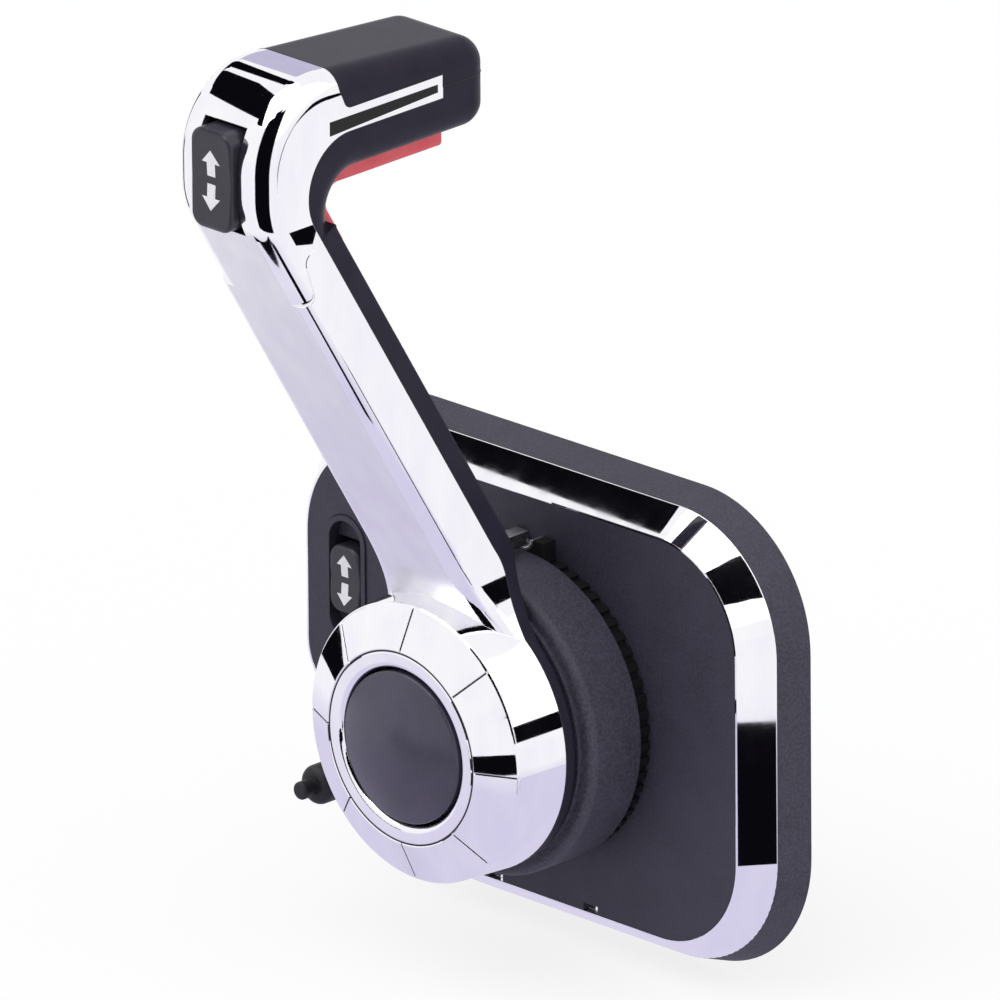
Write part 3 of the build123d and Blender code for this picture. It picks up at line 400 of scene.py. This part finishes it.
# %% [markdown]
# ## Dress the frame
# The record says which finish each piece of the frame takes, so nothing is listed twice here.

# %% Give every piece its finish
for part in frame["record"]["subparts"]:
    frame["nodes"][part["node"]].material_slots[0].material = finishes[part["material_slot"]]
frame["nodes"]["chrome_bezel"].material_slots[0].material = bezel_chrome

# %% [markdown]
# ## Arrows on the two rockers
# Each trim rocker carries an arrow up and an arrow down, printed in white on its shallow V face.
# A flat arrow would sink into one half of the V and float over the other, so the outline is cut
# into small faces first, every corner is dropped on to the rocker by a ray from outside, and the
# result gets the thickness of a coat of ink. A texture could show the same, but a thin piece of
# its own stays sharp at any distance and can be given its own finish.

# %% Draw an arrow on a rocker
def faces_of(node):
    """The faces of a node as a tree that rays and nearest points can be asked of."""
    mesh = frame["nodes"][node].data
    return BVHTree.FromPolygons([v.co for v in mesh.vertices],
                                [tuple(p.vertices) for p in mesh.polygons])


def surface_finder(node):
    """A function that gives the front surface of a node at (x, z), looking in from outside."""
    tree = faces_of(node)

    def find(x, z):
        return tree.ray_cast(Vector((x, -1.0, z)), Vector((0, 1, 0)))[0].y
    return find


ink_gap, ink_coat = 0.03 * mm, 0.08 * mm


def arrow_outlines(direction, size):
    """Corners of the head and of the shaft of an arrow that points up (1) or down (-1)."""
    tip, shoulder, tail = 10.8, 6.2, 1.4
    head, shaft = 4.2, 1.9
    head_corners = [(0, tip), (head, shoulder), (shaft, shoulder), (-shaft, shoulder),
                    (-head, shoulder)]
    shaft_corners = [(-shaft, shoulder), (shaft, shoulder), (shaft, tail), (-shaft, tail)]
    return [[(x * size * mm, direction * z * size * mm) for x, z in corners]
            for corners in (head_corners, shaft_corners)]


def printed_arrow(name, node, body, direction, size):
    """An arrow of ink on the face of a rocker, above its middle (1) or below it (-1)."""
    low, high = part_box(node)
    middle_x, middle_z = (low.x + high.x) / 2, (low.z + high.z) / 2
    find = surface_finder(node)
    shape = bmesh.new()
    for outline in arrow_outlines(direction, size):
        shape.faces.new([shape.verts.new((middle_x + x, 0, middle_z + z)) for x, z in outline])
    bmesh.ops.remove_doubles(shape, verts=shape.verts, dist=0.01 * mm)
    bmesh.ops.triangulate(shape, faces=shape.faces)
    for _ in range(3):
        bmesh.ops.subdivide_edges(shape, edges=shape.edges, cuts=1, use_grid_fill=True)
    for vertex in shape.verts:
        vertex.co.y = find(vertex.co.x, vertex.co.z) - ink_gap
    bmesh.ops.recalc_face_normals(shape, faces=shape.faces)
    if shape.faces[0].normal.y > 0:
        bmesh.ops.reverse_faces(shape, faces=shape.faces)
    mesh = bpy.data.meshes.new(name)
    shape.to_mesh(mesh)
    shape.free()
    arrow = bpy.data.objects.new(name, mesh)
    bpy.context.scene.collection.objects.link(arrow)
    arrow.data.materials.append(white_ink)
    ink = arrow.modifiers.new("Ink", "SOLIDIFY")
    ink.thickness = ink_coat
    ink.offset = 1.0
    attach(arrow, body)
    return arrow


for direction, word in ((1, "up"), (-1, "down")):
    for place, size in (("handle", 1.0), ("panel", 0.86)):
        printed_arrow(f"{place}_arrow_{word}", f"{place}_rocker", f"trim_rocker_{place}",
                      direction, size)
print("arrows printed: 4")

# %% [markdown]
# ## Marks of the dial ring
# The bright ring round the palm button has a fine groove and eight radial marks, filled with
# black so that they read at arm's length. The marks repeat round a circle, which is a job for
# Geometry Nodes: a circle gives the points, one small bar is placed on each, turned to point
# outwards and tilted to lie on the cone, and a second circle with a square section makes the
# groove's filling. The tree's inputs carry the ring's sizes, so it fits any ring.

# %% A node tree for the marks
def new_tree(name, inputs):
    """A geometry tree with those inputs: the tree, its input node and its output node."""
    tree = bpy.data.node_groups.new(name, "GeometryNodeTree")
    tree.interface.new_socket("Geometry", in_out="INPUT", socket_type="NodeSocketGeometry")
    tree.interface.new_socket("Geometry", in_out="OUTPUT", socket_type="NodeSocketGeometry")
    for title, kind in inputs:
        tree.interface.new_socket(title, in_out="INPUT", socket_type=kind)
    return tree, tree.nodes.new("NodeGroupInput"), tree.nodes.new("NodeGroupOutput")


def paint_and_hand_out(tree, last, given, result):
    """Makes the last node's instances real, gives them the Fill material and hands them out."""
    real = add(tree, "GeometryNodeRealizeInstances")
    tree.links.new(last.outputs[0], real.inputs[0])
    painted = add(tree, "GeometryNodeSetMaterial")
    tree.links.new(real.outputs[0], painted.inputs["Geometry"])
    tree.links.new(given.outputs["Fill"], painted.inputs["Material"])
    tree.links.new(painted.outputs[0], result.inputs["Geometry"])


def math_node(tree, operation, first, second):
    """A sum, product or the like of two values or sockets. Its output socket."""
    node = add(tree, "ShaderNodeMath", operation=operation)
    for socket, value in zip(node.inputs, (first, second)):
        if isinstance(value, (int, float)):
            socket.default_value = value
        else:
            tree.links.new(value, socket)
    return node.outputs[0]


mark_width, fill_depth = 0.5 * mm, 0.2 * mm
marks_tree, given, result = new_tree("Dial marks", [
    ("Count", "NodeSocketInt"), ("Middle radius", "NodeSocketFloat"),
    ("Length", "NodeSocketFloat"), ("Width", "NodeSocketFloat"), ("Tilt", "NodeSocketFloat"),
    ("Out", "NodeSocketFloat"), ("Groove radius", "NodeSocketFloat"),
    ("Groove out", "NodeSocketFloat"), ("Fill", "NodeSocketMaterial")])
join = marks_tree.links.new

circle = add(marks_tree, "GeometryNodeMeshCircle")
join(given.outputs["Count"], circle.inputs["Vertices"])
join(given.outputs["Middle radius"], circle.inputs["Radius"])
bar = add(marks_tree, "GeometryNodeMeshCube")
bar_size = add(marks_tree, "ShaderNodeCombineXYZ", {"Z": fill_depth})
join(given.outputs["Length"], bar_size.inputs["X"])
join(given.outputs["Width"], bar_size.inputs["Y"])
join(bar_size.outputs[0], bar.inputs["Size"])
index = add(marks_tree, "GeometryNodeInputIndex")
turn = math_node(marks_tree, "DIVIDE",
                 math_node(marks_tree, "MULTIPLY", index.outputs[0], 2 * math.pi),
                 given.outputs["Count"])
turning = add(marks_tree, "ShaderNodeCombineXYZ")
join(given.outputs["Tilt"], turning.inputs["Y"])
join(turn, turning.inputs["Z"])
placed = add(marks_tree, "GeometryNodeInstanceOnPoints")
join(circle.outputs["Mesh"], placed.inputs["Points"])
join(bar.outputs["Mesh"], placed.inputs["Instance"])
join(turning.outputs[0], placed.inputs["Rotation"])
lift_marks = add(marks_tree, "GeometryNodeTransform")
marks_height = add(marks_tree, "ShaderNodeCombineXYZ")
join(given.outputs["Out"], marks_height.inputs["Z"])
join(marks_height.outputs[0], lift_marks.inputs["Translation"])
join(placed.outputs[0], lift_marks.inputs["Geometry"])

groove_line = add(marks_tree, "GeometryNodeCurvePrimitiveCircle", {"Resolution": 96})
join(given.outputs["Groove radius"], groove_line.inputs["Radius"])
groove_section = add(marks_tree, "GeometryNodeCurvePrimitiveQuadrilateral",
                     {"Width": mark_width, "Height": fill_depth})
groove_fill = add(marks_tree, "GeometryNodeCurveToMesh")
join(groove_line.outputs[0], groove_fill.inputs["Curve"])
join(groove_section.outputs[0], groove_fill.inputs["Profile Curve"])
lift_groove = add(marks_tree, "GeometryNodeTransform")
groove_height = add(marks_tree, "ShaderNodeCombineXYZ")
join(given.outputs["Groove out"], groove_height.inputs["Z"])
join(groove_height.outputs[0], lift_groove.inputs["Translation"])
join(groove_fill.outputs[0], lift_groove.inputs["Geometry"])

both = add(marks_tree, "GeometryNodeJoinGeometry")
join(lift_groove.outputs[0], both.inputs[0])
join(lift_marks.outputs[0], both.inputs[0])
stand = add(marks_tree, "GeometryNodeTransform")
stand.inputs["Rotation"].default_value = (math.radians(90), 0, 0)
join(both.outputs[0], stand.inputs["Geometry"])
paint_and_hand_out(marks_tree, stand, given, result)

# %% Fit the marks to the ring
def plain_mesh_from(tree, name, values, start=None):
    """Runs a node tree with those inputs on a mesh, or on an empty one, and keeps a plain mesh."""
    carrier = bpy.data.objects.new(name, start or bpy.data.meshes.new(name))
    bpy.context.scene.collection.objects.link(carrier)
    modifier = carrier.modifiers.new("Nodes", "NODES")
    modifier.node_group = tree
    for item in tree.interface.items_tree:
        if item.in_out == "INPUT" and item.name in values:
            modifier[item.identifier] = values[item.name]
    seen = carrier.evaluated_get(bpy.context.evaluated_depsgraph_get())
    mesh = bpy.data.meshes.new_from_object(seen)
    carrier.modifiers.clear()
    carrier.data = mesh
    return carrier


mark_count = 8
ring_front = -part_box("hub_face_ring")[0].y
rim_radius, rim_out = 49.1 * mm, 83.8 * mm
crest_radius, crest_out = 35.0 * mm, 90.7 * mm
cone_tilt = math.atan2(crest_out - rim_out, rim_radius - crest_radius)
mark_inset, mark_margin = 0.34 * mm, 1.0 * mm
groove_radius, groove_inset = 34.3 * mm, 0.32 * mm
dial_marks = plain_mesh_from(marks_tree, "dial_marks", {
    "Count": mark_count,
    "Middle radius": (rim_radius + crest_radius) / 2 - mark_inset * math.sin(cone_tilt),
    "Length": (rim_radius - crest_radius) / math.cos(cone_tilt) - mark_margin,
    "Width": mark_width,
    "Tilt": cone_tilt,
    "Out": (rim_out + crest_out) / 2 - mark_inset * math.cos(cone_tilt),
    "Groove radius": groove_radius,
    "Groove out": crest_out - groove_inset,
    "Fill": black_fill_and_seam_shade,
})
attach(dial_marks, "lever")
print("dial marks:", len(dial_marks.data.polygons), "faces; ring front at",
      round(ring_front / mm, 1), "mm")

# %% [markdown]
# ## Dark bands of the grip's strips and liner of the notch
# The bright strip on each side of the grip shows a black band that widens towards the elbow: a
# painted reflection, made as a thin glossy black piece. And the notch of the lock ring's lug has a
# bright liner, which the lock's finger points at.

# %% Painted strip reflections and liner
def prism(name, outline, lift, body, finish):
    """A thin solid from an outline of corners, thickened along one direction."""
    count = len(outline)
    corners = [Vector(corner) for corner in outline]
    corners += [corner + lift for corner in corners]
    faces = [tuple(range(count)), tuple(reversed(range(count, 2 * count)))]
    faces += [(i, i + count, (i + 1) % count + count, (i + 1) % count) for i in range(count)]
    mesh = bpy.data.meshes.new(name)
    mesh.from_pydata(corners, [], faces)
    shape = bmesh.new()
    shape.from_mesh(mesh)
    bmesh.ops.recalc_face_normals(shape, faces=shape.faces)
    shape.to_mesh(mesh)
    shape.free()
    piece = bpy.data.objects.new(name, mesh)
    bpy.context.scene.collection.objects.link(piece)
    piece.data.materials.append(finish)
    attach(piece, body)
    return piece


grip_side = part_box("grip_cover")[1].x
strip_tip, strip_root = 91.5 * mm, 143.0 * mm
dark_band_top, tip_depth, root_depth = 245.7 * mm, 2.8 * mm, 5.0 * mm
dark_band_rise = 0.12 * mm
# One black piece on each strip, as painted reflection.
for side, word in ((-1, "fore"), (1, "aft")):
    prism(f"grip_strip_reflection_{word}", [
        (side * grip_side, -strip_tip, dark_band_top), (side * grip_side, -strip_root, dark_band_top),
        (side * grip_side, -strip_root, dark_band_top - root_depth),
        (side * grip_side, -strip_tip, dark_band_top - tip_depth)],
        Vector((side * dark_band_rise, 0, 0)), "lever", strip_reflection_black)
print("grip side at", round(grip_side / mm, 1), "mm")

notch_radius, notch_wall, liner_length = 4.5 * mm, 1.0 * mm, 5.0 * mm
lug_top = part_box("neutral_lock_ring")[1].z
ring_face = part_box("neutral_lock_ring")[0].y
arc_steps = 12
arc = [math.pi + math.pi * step / arc_steps for step in range(arc_steps + 1)]
liner = [(r * math.cos(a), ring_face, lug_top + r * math.sin(a))
         for r, angles in ((notch_radius, arc), (notch_radius - notch_wall, arc[::-1]))
         for a in angles]
prism("lug_liner", liner, Vector((0, liner_length, 0)), "panel",
      finishes["bright_chrome"])

# %% [markdown]
# ## Seams
# The covers of the lever close on each other, and in light each joint shows as a fine dark line of
# shade; here that shade is painted, as a thin black tube.
# The lines are found, not drawn: an edge of one piece belongs to a seam where it is sharp, lies
# on the neighbour, and has open air in front of it. Geometry Nodes then turns the edges into
# curves and runs a thin round section along them, half sunk in the joint.

# %% Find and draw the seams
sharp_angle = math.radians(25)
touching, probe_lift, probe_aside = 0.04 * mm, 0.2 * mm, 0.05 * mm
open_air = 80 * mm
seam_radius = 0.17 * mm


def seam_edges(node, neighbour, around):
    """Sharp edges of a node that lie on its neighbour with nothing in front of them."""
    shape = bmesh.new()
    shape.from_mesh(frame["nodes"][node].data)
    bmesh.ops.remove_doubles(shape, verts=shape.verts, dist=0.001 * mm)
    trees = {name: faces_of(name) for name in around}
    found = []
    for edge in shape.edges:
        if len(edge.link_faces) != 2 or edge.calc_face_angle() < sharp_angle:
            continue
        spots = [edge.verts[0].co, (edge.verts[0].co + edge.verts[1].co) / 2, edge.verts[1].co]
        if any(trees[neighbour].find_nearest(spot)[3] > touching for spot in spots):
            continue
        for face in edge.link_faces:
            start = spots[1] + face.normal * probe_lift
            beside = (face.calc_center_median() - spots[1]).normalized() * probe_aside
            if all(tree.ray_cast(start + beside, face.normal, open_air)[0] is None
                   for tree in trees.values()):
                found.append((edge.verts[0].co.copy(), edge.verts[1].co.copy()))
                break
    shape.free()
    return found


seam_tree, given, result = new_tree("Seam lines", [
    ("Radius", "NodeSocketFloat"), ("Fill", "NodeSocketMaterial")])
join = seam_tree.links.new
lines = add(seam_tree, "GeometryNodeMeshToCurve")
join(given.outputs["Geometry"], lines.inputs["Mesh"])
section = add(seam_tree, "GeometryNodeCurvePrimitiveCircle", {"Resolution": 6})
join(given.outputs["Radius"], section.inputs["Radius"])
tube = add(seam_tree, "GeometryNodeCurveToMesh", {"Fill Caps": True})
join(lines.outputs[0], tube.inputs["Curve"])
join(section.outputs[0], tube.inputs["Profile Curve"])
paint_and_hand_out(seam_tree, tube, given, result)

lever_covers = ("arm_shell", "elbow_cap", "grip_cover", "back_cover")
seam_pairs = (
    ("grip_cover", "elbow_cap"), ("arm_shell", "elbow_cap"), ("elbow_cap", "back_cover"),
    ("arm_shell", "back_cover"), ("grip_cover", "back_cover"))
# Each seam tube is painted shade, in the black fill.
for first, second in seam_pairs:
    ends = seam_edges(first, second, lever_covers)
    points = [point for pair in ends for point in pair]
    name = f"seam_{first}_{second}"
    loose = bpy.data.meshes.new(name)
    loose.from_pydata(points, [(2 * i, 2 * i + 1) for i in range(len(ends))], [])
    shape = bmesh.new()
    shape.from_mesh(loose)
    bmesh.ops.remove_doubles(shape, verts=shape.verts, dist=0.005 * mm)
    shape.to_mesh(loose)
    shape.free()
    seam = plain_mesh_from(seam_tree, name, {"Radius": seam_radius, "Fill": black_fill_and_seam_shade}, loose)
    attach(seam, "lever")
    print(name, len(ends), "edges,", len(seam.data.polygons), "faces")

# %% [markdown]
# ## Floor, light and reflections
# A pale floor and even light suit a product view. Two things are asked of the white: the camera
# should see a clean white ground with the object's own soft shadow on it, and the chrome should
# see a room, because a mirror in an empty white room has no shape. So the world is white to the
# camera and to reflections but lights the object only moderately, and a few black cards stand
# round the object where only reflections can find them, as is done in a studio.

# %% World and floor
scene = bpy.context.scene
scene.view_settings.view_transform = "Standard"


def ray_kinds(tree, *kinds):
    """A factor that is 1 for the named kinds of ray, from a Light Path node."""
    path = add(tree, "ShaderNodeLightPath")
    total = path.outputs[kinds[0]]
    for kind in kinds[1:]:
        either = add(tree, "ShaderNodeMath", operation="MAXIMUM")
        tree.links.new(total, either.inputs[0])
        tree.links.new(path.outputs[kind], either.inputs[1])
        total = either.outputs[0]
    return total


air_strength = 0.55
world = bpy.data.worlds.new("Studio")
scene.world = world
world.use_nodes = True
air = world.node_tree
seen = add(air, "ShaderNodeBackground", {"Color": (1, 1, 1, 1), "Strength": 1.0})
lighting = air.nodes["Background"]
lighting.inputs["Color"].default_value = (0.96, 0.97, 1.0, 1)
lighting.inputs["Strength"].default_value = air_strength
choose = add(air, "ShaderNodeMixShader")
air.links.new(ray_kinds(air, "Is Camera Ray", "Is Glossy Ray", "Is Transmission Ray"),
              choose.inputs[0])
air.links.new(lighting.outputs[0], choose.inputs[1])
air.links.new(seen.outputs[0], choose.inputs[2])
air.links.new(choose.outputs[0], air.nodes["World Output"].inputs["Surface"])


def flat_card(name, corners):
    """A four-cornered flat mesh."""
    mesh = bpy.data.meshes.new(name)
    mesh.from_pydata(corners, [], [(0, 1, 2, 3)])
    card = bpy.data.objects.new(name, mesh)
    scene.collection.objects.link(card)
    return card


floor_level = cad_low.z - 0.4 * mm
floor_reach = 9.0
floor_glow = 0.82
fade_start, fade_end = 0.26, 0.40
floor = flat_card("Floor", [(x, y, floor_level) for x, y in (
    (-floor_reach, -floor_reach), (floor_reach, -floor_reach),
    (floor_reach, floor_reach), (-floor_reach, floor_reach))])
paint, paint_tree, paint_shader = start_finish("White floor")
paint_shader.inputs["Base Color"].default_value = (1, 1, 1, 1)
paint_shader.inputs["Roughness"].default_value = 0.9
paint_shader.inputs["Specular IOR Level"].default_value = 0.0
# For reflections the floor glows lavender near the object and white further out: a painted
# reflection for the chrome, which the lamps don't make.
mirrored = add(paint_tree, "ShaderNodeEmission", {"Strength": 1.0})
spot = add(paint_tree, "ShaderNodeTexCoord")
distance = add(paint_tree, "ShaderNodeVectorMath", operation="LENGTH")
paint_tree.links.new(spot.outputs["Object"], distance.inputs[0])
near_to_far = between(paint_tree, distance.outputs["Value"], 0.0, 1.0, fade_start, fade_end)
paint_tree.links.new(mixed(paint_tree, near_to_far, shade(219, 214, 236), shade(252, 251, 254)),
                     mirrored.inputs["Color"])
lit = add(paint_tree, "ShaderNodeEmission", {"Strength": 1.0})
to_camera = add(paint_tree, "ShaderNodeMixShader", {0: floor_glow})
paint_tree.links.new(paint_shader.outputs[0], to_camera.inputs[1])
paint_tree.links.new(lit.outputs[0], to_camera.inputs[2])
plain = add(paint_tree, "ShaderNodeMixShader")
paint_tree.links.new(ray_kinds(paint_tree, "Is Camera Ray"), plain.inputs[0])
paint_tree.links.new(paint_shader.outputs[0], plain.inputs[1])
paint_tree.links.new(to_camera.outputs[0], plain.inputs[2])
floor_mix = add(paint_tree, "ShaderNodeMixShader")
paint_tree.links.new(ray_kinds(paint_tree, "Is Glossy Ray"), floor_mix.inputs[0])
paint_tree.links.new(plain.outputs[0], floor_mix.inputs[1])
paint_tree.links.new(mirrored.outputs[0], floor_mix.inputs[2])
paint_tree.links.new(floor_mix.outputs[0], paint_tree.nodes["Material Output"].inputs["Surface"])
floor.data.materials.append(paint)

# %% [markdown]
# ## Lamps
# A sun with a wide angle gives the same light everywhere on the floor and a shadow with a very
# soft edge. One stands high on the left as the key, and one fills from the right.

# %% Lamps
def soft_sun(name, azimuth, elevation, strength, spread, tint=(1, 1, 1)):
    """A sun whose light comes from that azimuth and elevation, in degrees."""
    data = bpy.data.lights.new(name, "SUN")
    data.energy = strength
    data.angle = math.radians(spread)
    data.color = tint
    lamp = bpy.data.objects.new(name, data)
    a, e = math.radians(azimuth), math.radians(elevation)
    source = Vector((math.sin(a) * math.cos(e), -math.cos(a) * math.cos(e), math.sin(e)))
    lamp.rotation_mode = "QUATERNION"
    lamp.rotation_quaternion = source.to_track_quat("Z", "Y")
    scene.collection.objects.link(lamp)
    return lamp


soft_sun("Key", -15, 62, 1.25, 60)
soft_sun("Fill", 80, 40, 0.5, 70)

# %% [markdown]
# ## Cards for the chrome
# Each card shows in the chrome as one streak. It stands where the camera's line of sight lands
# after it bounces off the chrome, so a card is described by the places on the chrome where its
# four corners should appear: a point, the direction the surface faces there, and how far away
# the card stands. Cards are hidden from the camera, give no shadow and take no light away.

# %% Cards for the chrome
def card_finish(name, colour):
    """A flat glow of that colour."""
    material = bpy.data.materials.new(name)
    material.use_nodes = True
    tree = material.node_tree
    flat = add(tree, "ShaderNodeEmission", {"Color": colour, "Strength": 1.0})
    tree.links.new(flat.outputs[0], tree.nodes["Material Output"].inputs["Surface"])
    return material


card_black = card_finish("Card black", shade(10, 9, 14))
card_lavender = card_finish("Card lavender", shade(196, 192, 216))


def mirror_spot(point, facing_way, reach, draft=lever_draft):
    """Where the camera's line of sight lands after a bounce; point and reach in mm."""
    normal = Vector(facing_way).normalized() + Vector((0, -draft, 0))
    normal.normalize()
    way = 2 * normal.dot(towards_camera) * normal - towards_camera
    return (Vector(point) + way * reach) * mm


def reflection_card(name, corners, finish=card_black):
    """A four-cornered card that only reflections see."""
    card = flat_card(name, [tuple(corner) for corner in corners])
    card.data.materials.append(finish)
    for kind in ("visible_camera", "visible_diffuse", "visible_shadow", "visible_transmission"):
        setattr(card, kind, False)
    return card


def bounce_card(name, reach, corners, draft=lever_draft, finish=card_black):
    """A card whose corners show on the chrome at those pairs of a point and a facing, in mm."""
    return reflection_card(name, [mirror_spot(point, facing_way, reach, draft)
                                  for point, facing_way in corners], finish)


def far_card(name, azimuth, elevation, reach, width, height):
    """A card that faces the lever from that azimuth and elevation in degrees; sizes in mm."""
    a, e = math.radians(azimuth), math.radians(elevation)
    out = Vector((math.sin(a) * math.cos(e), -math.cos(a) * math.cos(e), math.sin(e)))
    side = Vector((math.cos(a), math.sin(a), 0))
    up = out.cross(side)
    centre = aim + out * reach * mm
    return reflection_card(name, [centre + (side * sx * width + up * sz * height) * mm / 2
                                  for sx, sz in ((-1, -1), (1, -1), (1, 1), (-1, 1))])


far_card("High camera card", 30, 46, 1200, 260, 230)
far_card("Low left card", -75, -5, 500, 100, 220)
far_card("Low front card", -6, -28, 300, 300, 30)
far_card("Right horizon card", 112, 4, 750, 340, 150)

bounce_card("Elbow front card", 120, [
    ((-19, -157, 259), (-0.2, -0.42, 0.89)),
    ((2, -157, 259), (0, -0.44, 0.90)),
    ((17, -169, 250), (0.3, -0.78, 0.58)),
    ((8, -169, 250), (0.1, -0.80, 0.60))])
bounce_card("Elbow arc card", 120, [
    ((-18, -154, 260), (-0.2, -0.45, 0.88)),
    ((18, -152, 261), (0.2, -0.32, 0.94)),
    ((18, -151, 261), (0.2, -0.28, 0.95)),
    ((-18, -151, 261), (-0.2, -0.28, 0.95))])
bounce_card("Elbow edge card", 300, [
    ((20, -170, 220), (0.52, -0.83, -0.28)),
    ((20, -170, 220), (0.86, -0.47, -0.24)),
    ((17, -166, 250), (0.70, -0.40, 0.58)),
    ((17, -166, 250), (0.44, -0.68, 0.60))])
bounce_card("Elbow left card", 200, [
    ((-19, -173, 215), (-0.56, -0.80, -0.30)),
    ((-19, -173, 215), (-0.71, -0.66, -0.30)),
    ((-17, -165, 252), (-0.62, -0.50, 0.60)),
    ((-17, -165, 252), (-0.48, -0.62, 0.62))])
bounce_card("Throat card", 60, [
    ((21.4, -166, 212), (1, 0, 0)),
    ((21.4, -149, 212), (1, 0, 0)),
    ((21.4, -152, 205), (1, 0, 0)),
    ((21.4, -162, 207), (1, 0, 0))])

# Places on the bezel, in mm: its upper slope's inner and outer edge as (y, z), the way that the
# slope faces, and its aft upper corner as a centre (x, z), an inner radius and a width.
slope_in, slope_out = (-24.6, 74.3), (-13.6, 83.3)
top_slope = (0, -0.6, 0.8)
corner_centre, corner_radius, corner_width = (58.6, 37.4), 36.8, 9.1
bezel_reach = 200


def on_bezel_top(x, share):
    """A place on the bezel's upper slope, from its inner edge (0) to its outer edge (1)."""
    y = slope_in[0] + (slope_out[0] - slope_in[0]) * share
    z = slope_in[1] + (slope_out[1] - slope_in[1]) * share
    return (x, y, z)


bounce_card("Bezel top card", bezel_reach, [
    (on_bezel_top(-150, 0.55), top_slope), (on_bezel_top(66, 0.12), top_slope),
    (on_bezel_top(60, 1.6), top_slope), (on_bezel_top(-150, 1.6), top_slope)], 0)


def on_bezel_corner(degrees_round, share):
    """A place on the slope of the aft upper corner, so many degrees round, and its facing."""
    turn = math.radians(degrees_round)
    radius = corner_radius + corner_width * share
    place = (corner_centre[0] + radius * math.sin(turn), on_bezel_top(0, share)[1],
             corner_centre[1] + radius * math.cos(turn))
    facing_way = (top_slope[2] * math.sin(turn), top_slope[1], top_slope[2] * math.cos(turn))
    return place, facing_way


bounce_card("Bezel corner card", bezel_reach, [
    on_bezel_corner(36, -0.2), on_bezel_corner(40, 1.3), on_bezel_corner(62, 1.3),
    on_bezel_corner(56, -0.2)], 0)


def floor_card(name, corners):
    """A black card just above the floor, its corners in mm."""
    return reflection_card(name, [Vector((x * mm, y * mm, floor_level + 1 * mm))
                                  for x, y in corners])


floor_card("Edge line card", [(69, -236), (127, -220), (155, -304), (97, -320)])
floor_card("Bezel side card", [(193, -78), (321, -169), (343, -137), (215, -47)])
bounce_card("Elbow top card", 400, [
    ((-70, -160, 262), (0, -0.17, 1)), ((60, -160, 262), (0, -0.17, 1)),
    ((60, -110, 262), (0, 0.06, 1)), ((-70, -110, 262), (0, 0.06, 1))], finish=card_lavender)
print("cards placed")
